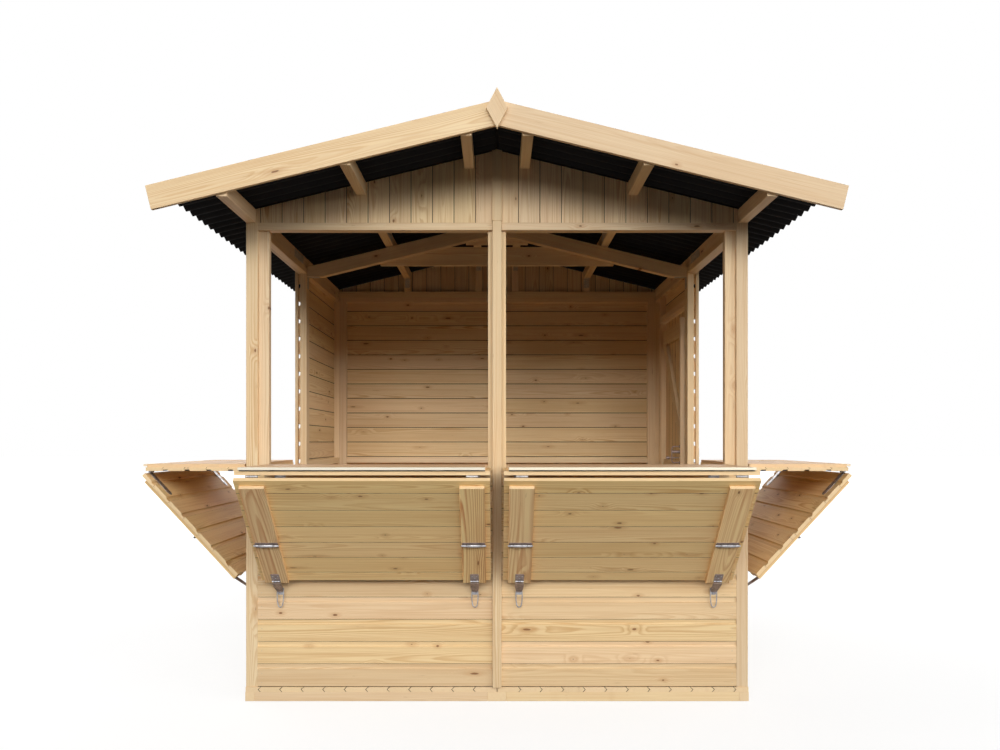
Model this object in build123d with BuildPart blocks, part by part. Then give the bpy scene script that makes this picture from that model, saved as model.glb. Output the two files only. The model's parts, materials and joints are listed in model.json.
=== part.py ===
"""Wooden market stall: a small gabled timber building with four bi-fold serving hatches.

Millimetres, +Z up, the serving front faces -Y. The origin is on the ground, at the centre of
the base. "Outward" is measured from the outer face of a wall's boards.
"""
import math
import os
from build123d import *

os.makedirs("parts", exist_ok=True)

# ---- plan and heights ---------------------------------------------------------------------
WIDTH = 2172.0            # across the outer faces of the side boards
DEPTH = 2006.0            # from the front boards to the back boards
BASE_LIP = 3.0            # how far the floor stands out past the boards
JOIST_HEIGHT = 40.0
JOIST_WIDTH = 40.0
FLOOR_BOARD = 21.0
WALL_HEIGHT = 2009.0      # floor to the top of the wall frames
SILL_HEIGHT = 923.0       # floor to the top of the walls below the hatches
BOARD = 16.0              # thickness of wall boards, gable boards and cover battens
STUD = 34.0               # depth of the wall frames, behind the boards
JOINT = 0.2               # hairline left between timbers that butt against each other

# ---- wall frames --------------------------------------------------------------------------
CORNER_STILE = 46.0       # front stile beside each corner
CENTRE_STILE = 39.0       # each of the pair of stiles at the middle of the front and back
SIDE_STUD = 36.0          # studs of the side walls
BOTTOM_RAIL = 36.0
SILL_RAIL = 36.0
LINTEL = 32.0             # top rail and the board over each opening
CENTRE_BATTEN = 39.0      # cover batten over the joint of two wall panels
CENTRE_BATTEN_RISE = 5.0  # the batten runs this far past the lintel boards
GABLE_BATTEN = 44.0
GABLE_RAIL = 40.0
GABLE_STUD = 34.0         # depth of the short studs between gable rail and purlins
SILL_BATTEN = 46.0        # batten outside the wall that carries the hatch hinges

# ---- roof ---------------------------------------------------------------------------------
PITCH = 13.7              # degrees
EAVES_BEAM_DEPTH = 54.0   # at the middle of its width
PURLIN_WIDTH = 42.0
PURLIN_DEPTH = 50.0
MIDDLE_PURLIN_X = 588.0
RIDGE_PURLIN_X = 120.0
GABLE_OVERHANG = 405.0    # sheets and purlins, past the front and back boards
EAVES_OVERHANG = 196.0    # sheets, past the side boards
SHEET = 3.0
WAVE_PITCH = 76.0
WAVE_HEIGHT = 25.0
SHEET_GAP = 10.0          # between the two slopes under the ridge cap
CAP_WIDTH = 150.0         # down each slope
BARGE_DEPTH = 95.0        # square to the slope
BARGE_BOARD = 18.0
BARGE_RISE = 53.0         # its top edge above the underside of the sheets
BARGE_TAIL = 71.0         # past the eaves of the sheets
FINIAL_WIDTH = 83.0
FINIAL_HEIGHT = 157.0
FINIAL_DROP = 37.0        # its middle below the top of the bargeboards

# ---- truss in the middle of the roof --------------------------------------------------------
TRUSS = 45.0              # thickness of the rafters
RAFTER_DEPTH = 70.0       # square to the slope
FOOT_DROP = 46.0          # the level cut under the rafters' feet, below the wall tops
TIE_DEPTH = 103.0
TIE_BOARD = 18.0
TIE_RISE = 22.0           # the tie's underside above the wall tops
TIE_HEEL = 8.0            # how far the end of the tie shows under the rafter
GUSSET_HALF_SPAN = 170.0
GUSSET_GAP = 13.0         # between the tie and the gusset

# ---- folded brackets and nail plates in the roof ----------------------------------------------
BRACKET = 2.0
BRACKET_WIDTH = 34.0
BRACKET_LEG = 56.0
FOOT_BRACKET_LEG = 64.0
SPLICE_LENGTH = 197.0     # plates over the joints of the lengthwise timbers
SPLICE_DEPTH = 40.0
SPLICE_AT = 185.0         # middle of the plates in front of the truss

# ---- bi-fold serving hatches ----------------------------------------------------------------
LAP = 12.5                # how far a leaf covers the stile at each side of its opening
KNUCKLE_RADIUS = 5.0
PIN_RADIUS = 2.5
PIN_PLAY = 0.1
LEAF = 16.0
LEAF_EDGE_GAP = 2.0       # from a hinge axis to the edge of the leaf
HINGE_RISE = 5.5          # hinge axis above the sill
COUNTER_REACH = 432.0     # from the sill hinge to the fold hinge
COUNTER_TOP = 14.0        # board laid on the counter leaf
COUNTER_TOP_SIDE_GAP = 6.5
NOSE = 18.0               # the counter top runs past the counter leaf
NOSE_RELIEF = 5.0         # step under the nose, where the folded flap laps it
FLAP_LENGTH = 602.0
FLAP_SLOPE = 47.2         # degrees from level, with the hatch open
FLAP_BATTEN = 97.0
FLAP_BATTEN_INSET = 20.0
FLAP_BATTEN_START = 26.0
FLAP_BATTEN_BOARD = 16.0
STRAP = 2.0
STRAP_WIDTH = 34.0
SILL_STRAP_LENGTH = 180.0
FOLD_LEAF_LENGTH = 45.0
FLAP_STRAP_LENGTH = 135.0
FIXED_LEAF = 42.0         # plates screwed to the wall, below or beside the pin
KNUCKLE_LENGTH = 46.0
KNUCKLE_GAP = 1.0         # between a knuckle and the plate beside it
ROLL_SIDES = 12           # flats round a rolled knuckle or barrel
FOLD_BARREL_AT = 350.0    # from the flap's upper edge to the barrel across its battens
BARREL_RADIUS = 6.0
HASP_WIDTH = 36.0
HASP_PLATE_LENGTH = 38.0
HASP_KNUCKLE_BACK = 14.0  # from the end of the batten to the hasp's knuckle
HASP_RADIUS = 4.0
TONGUE = 2.5              # thickness
TONGUE_GAP = 1.5
TONGUE_REACH = 14.0       # from the wall boards to the end of the tongue
STAPLE_PLATE = 46.0
RING_WIRE = 2.5           # radius
RING_WIDTH = 35.0
RING_LENGTH = 76.0
RING_BEND = 14.0
RING_HANG = 5.0           # the ring's upper end above the staple bar
STAPLE_BAR = 5.0          # square bar that carries the ring

# ---- door in the right wall -----------------------------------------------------------------
DOOR_WIDTH = 700.0
OVER_DOOR = 195.0         # wall panel over the doorway
DOOR_GAP = 5.0            # round the leaf
LEDGE_DEPTH = 90.0
LEDGE_BOARD = 20.0
LEDGE_INSET = 20.0        # from the hinge edge of the leaf
LEDGE_END = 57.0          # from the top and bottom of the leaf to its end ledges
CLOSING_STILE = 36.0      # upright inside the door's closing edge
CLOSING_STILE_DEPTH = 55.0
CLOSING_STILE_INSET = 6.0
DOOR_STRAP_LENGTH = 300.0
DOOR_KNUCKLE_RADIUS = 6.0
DOOR_KNUCKLE_PLAY = 0.4   # between the door's face and the knuckles
HANDLE_HEIGHT = 990.0     # above the floor
HANDLE_ROD = 4.0          # radius
HANDLE_SIDES = 8
HANDLE_SPAN = 90.0
HANDLE_REACH = 44.0
HANDLE_BEND = 12.0

# ---- derived levels and planes --------------------------------------------------------------
SIDE_X = WIDTH / 2
FRONT_Y = DEPTH / 2
WALL = BOARD + STUD
INNER_X = SIDE_X - WALL
FLOOR_Z = JOIST_HEIGHT + FLOOR_BOARD
SILL_Z = FLOOR_Z + SILL_HEIGHT
WALL_TOP = FLOOR_Z + WALL_HEIGHT
LINTEL_Z = WALL_TOP - LINTEL
SLOPE = math.tan(math.radians(PITCH))
RAKE = math.cos(math.radians(PITCH))
EAVES_BEAM_X = SIDE_X - PURLIN_WIDTH / 2
APEX_Z = WALL_TOP + EAVES_BEAM_DEPTH + EAVES_BEAM_X * SLOPE
ROOF_HALF_LENGTH = FRONT_Y + GABLE_OVERHANG
EAVES_X = SIDE_X + EAVES_OVERHANG
HINGE_Z = SILL_Z + HINGE_RISE
HINGE_OUT = BOARD + KNUCKLE_RADIUS
FOLD_OUT = HINGE_OUT + COUNTER_REACH


def roof_z(x, below=0.0):
    """Height of the underside of the sheets at x, or a level below it."""
    return APEX_Z - abs(x) * SLOPE - below


def timber(low, high):
    """A square-cut timber between two opposite corners."""
    size = [b - a for a, b in zip(low, high)]
    middle = [(a + b) / 2 for a, b in zip(low, high)]
    with Locations(tuple(middle)):
        Box(*size)


def save(piece, name):
    piece.part.label = name
    export_step(piece.part, f"parts/{name}.step")


# ==== base and floor =========================================================================
BASE_X = SIDE_X + BASE_LIP
BASE_Y = FRONT_Y + BASE_LIP
MID_JOIST_X = BASE_X / 2

with BuildPart() as base_bearers:
    timber((-JOIST_WIDTH, -BASE_Y, 0), (JOIST_WIDTH, BASE_Y, JOIST_HEIGHT))
    for side in (-1, 1):
        edges = sorted((side * (BASE_X - JOIST_WIDTH), side * BASE_X))
        timber((edges[0], -BASE_Y, 0), (edges[1], BASE_Y, JOIST_HEIGHT))
        timber((side * MID_JOIST_X - JOIST_WIDTH / 2, -BASE_Y + JOIST_WIDTH + JOINT, 0),
               (side * MID_JOIST_X + JOIST_WIDTH / 2, BASE_Y - JOIST_WIDTH - JOINT, JOIST_HEIGHT))
        rim = sorted((side * (JOIST_WIDTH + JOINT), side * (BASE_X - JOIST_WIDTH - JOINT)))
        for end in (-1, 1):
            ends = sorted((end * (BASE_Y - JOIST_WIDTH), end * BASE_Y))
            timber((rim[0], ends[0], 0), (rim[1], ends[1], JOIST_HEIGHT))
save(base_bearers, "base_bearers")

with BuildPart() as floor_boards:
    for side in (-1, 1):
        half = sorted((side * JOINT / 2, side * BASE_X))
        timber((half[0], -BASE_Y, JOIST_HEIGHT), (half[1], BASE_Y, FLOOR_Z))
save(floor_boards, "floor_boards")

# ==== front and back walls, each made of two panels ==========================================


def wall_y(facing, inward):
    """Y of a plane that lies inward from the outer face of the front (-1) or back (1) boards."""
    return facing * (FRONT_Y - inward)


def end_panel(facing, side, near_in, far_in, x0, x1, z0, z1):
    """A timber of the front or back wall, between two distances in from its face."""
    ys = sorted((wall_y(facing, near_in), wall_y(facing, far_in)))
    xs = sorted((side * x0, side * x1))
    timber((xs[0], ys[0], z0), (xs[1], ys[1], z1))


def end_frame(facing, sill):
    """Two panel frames: stiles full height, rails between them."""
    for side in (-1, 1):
        inner = (JOINT / 2, CENTRE_STILE)
        outer = (INNER_X - CORNER_STILE, INNER_X)
        for x0, x1 in (inner, outer):
            end_panel(facing, side, BOARD, WALL, x0, x1, FLOOR_Z, WALL_TOP)
        levels = [(FLOOR_Z, FLOOR_Z + BOTTOM_RAIL), (LINTEL_Z, WALL_TOP)]
        levels.append((SILL_Z - SILL_RAIL, SILL_Z) if sill else (SILL_Z, SILL_Z + SILL_RAIL))
        for z0, z1 in levels:
            end_panel(facing, side, BOARD, WALL, inner[1] + JOINT, outer[0] - JOINT, z0, z1)


with BuildPart() as front_frame:
    end_frame(-1, sill=True)
save(front_frame, "front_frame")

with BuildPart() as back_frame:
    end_frame(1, sill=False)
save(back_frame, "back_frame")

with BuildPart() as front_lower_wall:
    for side in (-1, 1):
        end_panel(-1, side, 0, BOARD, JOINT / 2, INNER_X - JOINT, FLOOR_Z, SILL_Z)
save(front_lower_wall, "front_lower_wall")

with BuildPart() as back_wall:
    for side in (-1, 1):
        end_panel(1, side, 0, BOARD, JOINT / 2, INNER_X - JOINT, FLOOR_Z, WALL_TOP)
save(back_wall, "back_wall")

with BuildPart() as corner_boards:
    for facing in (-1, 1):
        for side in (-1, 1):
            end_panel(facing, side, 0, BOARD, INNER_X, SIDE_X, FLOOR_Z, WALL_TOP)
save(corner_boards, "corner_boards")

# ==== side walls =============================================================================


def side_panel(side, near_in, far_in, y0, y1, z0, z1):
    """A timber of a side wall, between two distances in from the face of its boards."""
    xs = sorted((side * (SIDE_X - near_in), side * (SIDE_X - far_in)))
    timber((xs[0], y0, z0), (xs[1], y1, z1))


SIDE_END = FRONT_Y - BOARD
OPENING_Y = (-SIDE_END + SIDE_STUD, -SIDE_STUD)


def side_bay_frame(side, y0, y1, middle_rail):
    """Two studs full height, with bottom, top and middle rails between them."""
    for a in (y0, y1 - SIDE_STUD):
        side_panel(side, BOARD, WALL, a, a + SIDE_STUD, FLOOR_Z, WALL_TOP)
    for z0, z1 in ((FLOOR_Z, FLOOR_Z + BOTTOM_RAIL), middle_rail, (LINTEL_Z, WALL_TOP)):
        side_panel(side, BOARD, WALL, y0 + SIDE_STUD + JOINT, y1 - SIDE_STUD - JOINT, z0, z1)


SILL_RAIL_LEVEL = (SILL_Z - SILL_RAIL, SILL_Z)
MIDDLE_RAIL_LEVEL = (SILL_Z, SILL_Z + SILL_RAIL)

with BuildPart() as left_frame:
    side_bay_frame(-1, -SIDE_END, -JOINT / 2, SILL_RAIL_LEVEL)
    side_bay_frame(-1, JOINT / 2, SIDE_END, MIDDLE_RAIL_LEVEL)
save(left_frame, "left_frame")

with BuildPart() as right_front_frame:
    side_bay_frame(1, -SIDE_END, -JOINT / 2, SILL_RAIL_LEVEL)
save(right_front_frame, "right_front_frame")

for side, label in ((-1, "left_lower_wall"), (1, "right_lower_wall")):
    with BuildPart() as lower_wall:
        side_panel(side, 0, BOARD, -SIDE_END + JOINT, -JOINT / 2, FLOOR_Z, SILL_Z)
    save(lower_wall, label)

with BuildPart() as left_rear_wall:
    side_panel(-1, 0, BOARD, JOINT / 2, SIDE_END - JOINT, FLOOR_Z, WALL_TOP)
save(left_rear_wall, "left_rear_wall")

# ---- doorway in the right wall --------------------------------------------------------------
DOORWAY = (SIDE_STUD, SIDE_STUD + DOOR_WIDTH + 2 * DOOR_GAP)
DOOR_Z = FLOOR_Z + DOOR_GAP
HEAD_Z = WALL_TOP - OVER_DOOR
DOOR_TOP = HEAD_Z - DOOR_GAP

with BuildPart() as door_frame:
    for y0, y1 in ((JOINT / 2, DOORWAY[0]), (DOORWAY[1], DOORWAY[1] + SIDE_STUD),
                   (SIDE_END - SIDE_STUD, SIDE_END)):
        side_panel(1, BOARD, WALL, y0, y1, FLOOR_Z, WALL_TOP)
    for z0, z1 in ((HEAD_Z, HEAD_Z + SILL_RAIL), (LINTEL_Z, WALL_TOP)):
        side_panel(1, BOARD, WALL, DOORWAY[0] + JOINT, DOORWAY[1] - JOINT, z0, z1)
    for z0, z1 in ((FLOOR_Z, FLOOR_Z + BOTTOM_RAIL), (LINTEL_Z, WALL_TOP)):
        side_panel(1, BOARD, WALL, DOORWAY[1] + SIDE_STUD + JOINT,
                   SIDE_END - SIDE_STUD - JOINT, z0, z1)
save(door_frame, "door_frame")

with BuildPart() as right_rear_wall:
    side_panel(1, 0, BOARD, DOORWAY[1] + JOINT, SIDE_END - JOINT, FLOOR_Z, WALL_TOP)
save(right_rear_wall, "right_rear_wall")

with BuildPart() as over_door_wall:
    side_panel(1, 0, BOARD, JOINT / 2, DOORWAY[1], HEAD_Z, WALL_TOP)
save(over_door_wall, "over_door_wall")

with BuildPart() as door_jamb_board:
    side_panel(1, 0, BOARD, JOINT / 2, DOORWAY[0], FLOOR_Z, HEAD_Z - JOINT)
save(door_jamb_board, "door_jamb_board")

# ==== boards over the openings and cover battens =============================================
with BuildPart() as lintel_boards:
    for side in (-1, 1):
        end_panel(-1, side, 0, BOARD, JOINT / 2, INNER_X - JOINT, LINTEL_Z, WALL_TOP)
        side_panel(side, 0, BOARD, -SIDE_END + JOINT, -JOINT / 2, LINTEL_Z, WALL_TOP)
save(lintel_boards, "lintel_boards")

with BuildPart() as cover_battens:
    half = CENTRE_BATTEN / 2
    for facing in (-1, 1):
        ys = sorted((wall_y(facing, 0), wall_y(facing, -BOARD)))
        timber((-half, ys[0], FLOOR_Z), (half, ys[1], WALL_TOP + CENTRE_BATTEN_RISE))
    for side in (-1, 1):
        side_panel(side, -BOARD, 0, -half, half, FLOOR_Z, WALL_TOP)
save(cover_battens, "cover_battens")

with BuildPart() as sill_battens:
    for side in (-1, 1):
        opening = (CENTRE_STILE, INNER_X - CORNER_STILE)
        end_panel(-1, side, -BOARD, 0, opening[0] - LAP, opening[1] + LAP,
                  SILL_Z - SILL_BATTEN, SILL_Z)
        side_panel(side, -BOARD, 0, OPENING_Y[0] - LAP, OPENING_Y[1] + LAP,
                   SILL_Z - SILL_BATTEN, SILL_Z)
save(sill_battens, "sill_battens")

# ==== gables =================================================================================
BEAM_INNER_X = SIDE_X - PURLIN_WIDTH
PURLIN_PLACES = (RIDGE_PURLIN_X, MIDDLE_PURLIN_X)


def gable_plane(facing, inward):
    """Upright plane across the stall, looked at from the front."""
    return Plane.XZ.offset(-wall_y(facing, inward))


def under_roof(reach, bottom, below):
    """Outline from a level line up to the slopes, or to a line parallel below them."""
    return [(-reach, bottom), (reach, bottom), (reach, roof_z(reach, below)),
            (0, roof_z(0, below)), (-reach, roof_z(reach, below))]


def gable_field(facing):
    """Board field under the roof, notched over the purlins."""
    with BuildSketch(gable_plane(facing, BOARD / 2)) as field:
        with BuildLine():
            Polyline(*under_roof(BEAM_INNER_X - JOINT, WALL_TOP, JOINT), close=True)
        make_face()
        for x in PURLIN_PLACES:
            notch = roof_z(x, PURLIN_DEPTH) - JOINT + PURLIN_DEPTH
            with Locations((x, notch), (-x, notch)):
                Rectangle(PURLIN_WIDTH + 2 * JOINT, 2 * PURLIN_DEPTH, mode=Mode.SUBTRACT)
    return field.sketch


for facing, label in ((-1, "front_gable"), (1, "back_gable")):
    with BuildPart() as gable:
        extrude(gable_field(facing), amount=BOARD / 2, both=True)
    save(gable, label)

with BuildPart() as gable_rails:
    half = PURLIN_WIDTH / 2
    for facing in (-1, 1):
        ys = sorted((wall_y(facing, BOARD), wall_y(facing, WALL)))
        reach = BEAM_INNER_X - JOINT
        timber((-reach, ys[0], WALL_TOP), (reach, ys[1], WALL_TOP + GABLE_RAIL))
        ys = sorted((wall_y(facing, BOARD), wall_y(facing, BOARD + GABLE_STUD)))
        for x in PURLIN_PLACES:
            for middle in (-x, x):
                timber((middle - half, ys[0], WALL_TOP + GABLE_RAIL + JOINT),
                       (middle + half, ys[1], roof_z(x, PURLIN_DEPTH)))
save(gable_rails, "gable_rails")


def gable_batten_outline(facing):
    """Cover batten up the middle of a gable, pointed to the roof."""
    start = WALL_TOP + CENTRE_BATTEN_RISE + JOINT
    with BuildSketch(gable_plane(facing, -BOARD / 2)) as outline:
        with BuildLine():
            Polyline(*under_roof(GABLE_BATTEN / 2, start, JOINT), close=True)
        make_face()
    return outline.sketch


with BuildPart() as gable_battens:
    for facing in (-1, 1):
        extrude(gable_batten_outline(facing), amount=BOARD / 2, both=True)
save(gable_battens, "gable_battens")

# ==== roof timbers ===========================================================================


def purlin_section(x, bottom):
    """Section of a lengthwise timber with its top cut to the slope."""
    half = PURLIN_WIDTH / 2
    with BuildSketch(Plane.XZ) as section:
        with BuildLine():
            Polyline((x - half, bottom), (x + half, bottom), (x + half, roof_z(x + half)),
                     (x - half, roof_z(x - half)), close=True)
        make_face()
    return section.sketch


with BuildPart() as eaves_beams:
    for side in (-1, 1):
        extrude(purlin_section(side * EAVES_BEAM_X, WALL_TOP), amount=ROOF_HALF_LENGTH, both=True)
save(eaves_beams, "eaves_beams")

with BuildPart() as purlins:
    for side in (-1, 1):
        for x in PURLIN_PLACES:
            section = purlin_section(side * x, roof_z(x, PURLIN_DEPTH))
            extrude(section, amount=ROOF_HALF_LENGTH, both=True)
save(purlins, "purlins")

# ---- truss: a pair of rafters with a tie and an apex gusset on their rear face ---------------
RAFTER_DROP = RAFTER_DEPTH / RAKE
RAFTER_TOP = PURLIN_DEPTH + PURLIN_WIDTH / 2 * SLOPE
RAFTER_BOTTOM = RAFTER_TOP + RAFTER_DROP
FOOT_Z = WALL_TOP - FOOT_DROP
FOOT_X = (APEX_Z - RAFTER_BOTTOM - FOOT_Z) / SLOPE
TIE_Z = WALL_TOP + TIE_RISE
TIE_TOP = TIE_Z + TIE_DEPTH
TIE_REACH = (APEX_Z - RAFTER_BOTTOM - TIE_Z - TIE_HEEL) / SLOPE
TRUSS_REAR = Plane.XZ.offset(-(TRUSS + TIE_BOARD) / 2)

with BuildPart() as truss_rafters:
    for side in (-1, 1):
        outline = [(JOINT / 2, roof_z(JOINT / 2, RAFTER_TOP)), (INNER_X, roof_z(INNER_X, RAFTER_TOP)),
                   (INNER_X, FOOT_Z), (FOOT_X, FOOT_Z),
                   (JOINT / 2, roof_z(JOINT / 2, RAFTER_BOTTOM))]
        with BuildSketch(Plane.XZ):
            with BuildLine():
                Polyline(*[(side * x, z) for x, z in outline], close=True)
            make_face()
    extrude(amount=TRUSS / 2, both=True)
save(truss_rafters, "truss_rafters")

with BuildPart() as collar_tie:
    with BuildSketch(TRUSS_REAR):
        with BuildLine():
            Polyline(*under_roof(INNER_X, WALL_TOP, RAFTER_TOP), close=True)
        make_face()
        with Locations((0, (TIE_Z + TIE_TOP) / 2)):
            Rectangle(2 * TIE_REACH, TIE_DEPTH, mode=Mode.INTERSECT)
    extrude(amount=TIE_BOARD / 2, both=True)
save(collar_tie, "collar_tie")

with BuildPart() as truss_gusset:
    with BuildSketch(TRUSS_REAR):
        with BuildLine():
            Polyline(*under_roof(GUSSET_HALF_SPAN, TIE_TOP + GUSSET_GAP, RAFTER_TOP), close=True)
        make_face()
    extrude(amount=TIE_BOARD / 2, both=True)
save(truss_gusset, "truss_gusset")

SPLICED = [(BEAM_INNER_X, WALL_TOP)]
SPLICED += [(x - PURLIN_WIDTH / 2, roof_z(x, PURLIN_DEPTH)) for x in PURLIN_PLACES]

with BuildPart() as roof_brackets:
    half = BRACKET_WIDTH / 2
    for side in (-1, 1):
        for reach, drop in ((BRACKET, FOOT_BRACKET_LEG), (FOOT_BRACKET_LEG, BRACKET)):
            xs = sorted((side * (INNER_X - reach), side * INNER_X))
            timber((xs[0], -half, FOOT_Z - drop), (xs[1], half, FOOT_Z))
        for x in PURLIN_PLACES:
            level = roof_z(x, PURLIN_DEPTH)
            for facing in (-1, 1):
                for reach, drop in ((BRACKET, BRACKET_LEG), (BRACKET_LEG, BRACKET)):
                    ys = sorted((wall_y(facing, BOARD + GABLE_STUD),
                                 wall_y(facing, BOARD + GABLE_STUD + reach)))
                    timber((side * x - half, ys[0], level - drop), (side * x + half, ys[1], level))
        for inner, bottom in SPLICED:
            middle = (bottom + roof_z(inner)) / 2
            xs = sorted((side * (inner - BRACKET), side * inner))
            timber((xs[0], -SPLICE_AT - SPLICE_LENGTH / 2, middle - SPLICE_DEPTH / 2),
                   (xs[1], -SPLICE_AT + SPLICE_LENGTH / 2, middle + SPLICE_DEPTH / 2))
save(roof_brackets, "roof_brackets")

# ==== corrugated sheets, ridge cap and bargeboards ===========================================
WAVES = int(2 * ROOF_HALF_LENGTH // WAVE_PITCH)
WAVE = 2 * ROOF_HALF_LENGTH / WAVES
SLOPE_LENGTH = (EAVES_X - SHEET_GAP / 2) / RAKE
SHEET_TOP = (WAVE_HEIGHT + SHEET) / RAKE


def wave_line(lift):
    """Points of the corrugations, seen along the slope, with a flat crest and trough each."""
    shape = ((1 / 8, 0), (3 / 8, 1), (5 / 8, 1), (7 / 8, 0))
    points = [(-ROOF_HALF_LENGTH + (count + along) * WAVE, lift + height * WAVE_HEIGHT)
              for count in range(WAVES) for along, height in shape]
    return [(-ROOF_HALF_LENGTH, lift), *points, (ROOF_HALF_LENGTH, lift)]


for side, label in ((-1, "roof_sheet_left"), (1, "roof_sheet_right")):
    ridge_end = Plane(origin=(side * SHEET_GAP / 2, 0, roof_z(SHEET_GAP / 2)),
                      x_dir=(0, side, 0), z_dir=(side * RAKE, 0, -RAKE * SLOPE))
    with BuildPart() as roof_sheet:
        with BuildSketch(ridge_end):
            with BuildLine():
                Polyline(*wave_line(0), *reversed(wave_line(SHEET)), close=True)
            make_face()
        extrude(amount=SLOPE_LENGTH)
    save(roof_sheet, label)

with BuildPart() as ridge_cap:
    reach = CAP_WIDTH * RAKE
    with BuildSketch(Plane.XZ):
        with BuildLine():
            low = [(x, roof_z(x) + SHEET_TOP) for x in (-reach, 0, reach)]
            Polyline(*low, *[(x, z + SHEET) for x, z in reversed(low)], close=True)
        make_face()
    extrude(amount=ROOF_HALF_LENGTH, both=True)
save(ridge_cap, "ridge_cap")


def bargeboard_outline(side):
    """Board up one slope: plumb at the ridge, square at the eaves."""
    top = APEX_Z + BARGE_RISE
    tail_x = EAVES_X + BARGE_TAIL
    tail_z = top - tail_x * SLOPE
    fall = BARGE_DEPTH * RAKE
    outline = [(JOINT / 2, top), (tail_x, tail_z), (tail_x - fall * SLOPE, tail_z - fall),
               (JOINT / 2, top - BARGE_DEPTH / RAKE)]
    return [(side * x, z) for x, z in outline]


for facing, label in ((-1, "front_bargeboards"), (1, "back_bargeboards")):
    with BuildPart() as bargeboards:
        for side in (-1, 1):
            with BuildSketch(gable_plane(facing, -GABLE_OVERHANG - BARGE_BOARD / 2)):
                with BuildLine():
                    Polyline(*bargeboard_outline(side), close=True)
                make_face()
        extrude(amount=BARGE_BOARD / 2, both=True)
    save(bargeboards, label)

with BuildPart() as finials:
    middle = APEX_Z + BARGE_RISE - FINIAL_DROP
    for facing in (-1, 1):
        with BuildSketch(gable_plane(facing, -GABLE_OVERHANG - 3 * BARGE_BOARD / 2)):
            with BuildLine():
                Polyline((0, middle - FINIAL_HEIGHT / 2), (FINIAL_WIDTH / 2, middle),
                         (0, middle + FINIAL_HEIGHT / 2), (-FINIAL_WIDTH / 2, middle), close=True)
            make_face()
    extrude(amount=BARGE_BOARD / 2, both=True)
save(finials, "finials")

# ==== bi-fold serving hatches ================================================================
FRONT_OPENING = INNER_X - CORNER_STILE - CENTRE_STILE
FRONT_OPENING_X = CENTRE_STILE + FRONT_OPENING / 2
SIDE_OPENING = OPENING_Y[1] - OPENING_Y[0]
SIDE_OPENING_Y = (OPENING_Y[0] + OPENING_Y[1]) / 2
FOLD_ANGLE = math.radians(180 + FLAP_SLOPE)
FLAP_FACE = KNUCKLE_RADIUS + LEAF
BATTEN_FACE = FLAP_FACE + FLAP_BATTEN_BOARD
FLAP_END = LEAF_EDGE_GAP + FLAP_LENGTH
HASP_AT = FLAP_END - HASP_KNUCKLE_BACK
MIDDLE_KNUCKLE = KNUCKLE_LENGTH / 3
END_KNUCKLE = (KNUCKLE_LENGTH - MIDDLE_KNUCKLE) / 2
END_KNUCKLE_AT = (MIDDLE_KNUCKLE + END_KNUCKLE) / 2
TURNING_KNUCKLE = MIDDLE_KNUCKLE - 2 * PIN_PLAY

# name, middle of the opening at the board face, outward direction, opening width
HATCHES = (
    ("front_left", (-FRONT_OPENING_X, -FRONT_Y), (0, -1, 0), FRONT_OPENING),
    ("front_right", (FRONT_OPENING_X, -FRONT_Y), (0, -1, 0), FRONT_OPENING),
    ("side_left", (-SIDE_X, SIDE_OPENING_Y), (-1, 0, 0), SIDE_OPENING),
    ("side_right", (SIDE_X, SIDE_OPENING_Y), (1, 0, 0), SIDE_OPENING),
)


def wall_section(centre, outward):
    """Upright plane square to a wall: x is the distance out from its boards, y is the height."""
    along = Vector(*outward).cross(Vector(0, 0, 1))
    return Plane(origin=(*centre, 0), x_dir=outward, z_dir=along)


def flap_section(centre, outward):
    """Plane of the hanging flap: x runs down the flap from the fold, y towards its battens."""
    section = wall_section(centre, outward)
    fold = section.from_local_coords(Vector(FOLD_OUT, HINGE_Z, 0))
    down = Vector(*outward) * math.cos(FOLD_ANGLE) + Vector(0, 0, 1) * math.sin(FOLD_ANGLE)
    return Plane(origin=fold, x_dir=down, z_dir=section.z_dir)


def slab(plane, x0, x1, y0, y1, width, mode=Mode.ADD):
    """A board seen end-on in a section plane, of a width along the wall."""
    middle = plane.from_local_coords(Vector((x0 + x1) / 2, (y0 + y1) / 2, 0))
    with Locations(Plane(origin=middle, x_dir=plane.x_dir, z_dir=plane.z_dir)):
        Box(abs(x1 - x0), abs(y1 - y0), width, mode=mode)


def rod(plane, x, y, radius, length, mode=Mode.ADD):
    """A round bar along the wall, its middle in the section plane."""
    middle = plane.from_local_coords(Vector(x, y, 0))
    with Locations(Plane(origin=middle, x_dir=plane.x_dir, z_dir=plane.z_dir)):
        Cylinder(radius, length, mode=mode)


def roll(plane, x, y, radius, length):
    """A rolled knuckle or barrel along the wall, drawn with flats."""
    middle = plane.from_local_coords(Vector(x, y, 0))
    with BuildSketch(Plane(origin=middle, x_dir=plane.x_dir, z_dir=plane.z_dir)) as section:
        RegularPolygon(radius, ROLL_SIDES)
    extrude(section.sketch, amount=length / 2, both=True)


def leaf_width(opening):
    return opening + 2 * LAP


def strap_offsets(opening):
    """Hinges and hasps sit on the middle line of the flap's two battens."""
    inset = leaf_width(opening) / 2 - FLAP_BATTEN_INSET - FLAP_BATTEN / 2
    return (-inset, inset)


def outer_knuckles(plane, x, y):
    """The two end knuckles of a hinge with its pin."""
    rod(plane, x, y, PIN_RADIUS, KNUCKLE_LENGTH)
    for way in (-1, 1):
        roll(plane.offset(way * END_KNUCKLE_AT), x, y, KNUCKLE_RADIUS, END_KNUCKLE)


def middle_knuckle(plane, x, y):
    """The knuckle between them, bored to turn on the pin."""
    roll(plane, x, y, KNUCKLE_RADIUS, TURNING_KNUCKLE)
    rod(plane, x, y, PIN_RADIUS + PIN_PLAY, TURNING_KNUCKLE, Mode.SUBTRACT)


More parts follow.
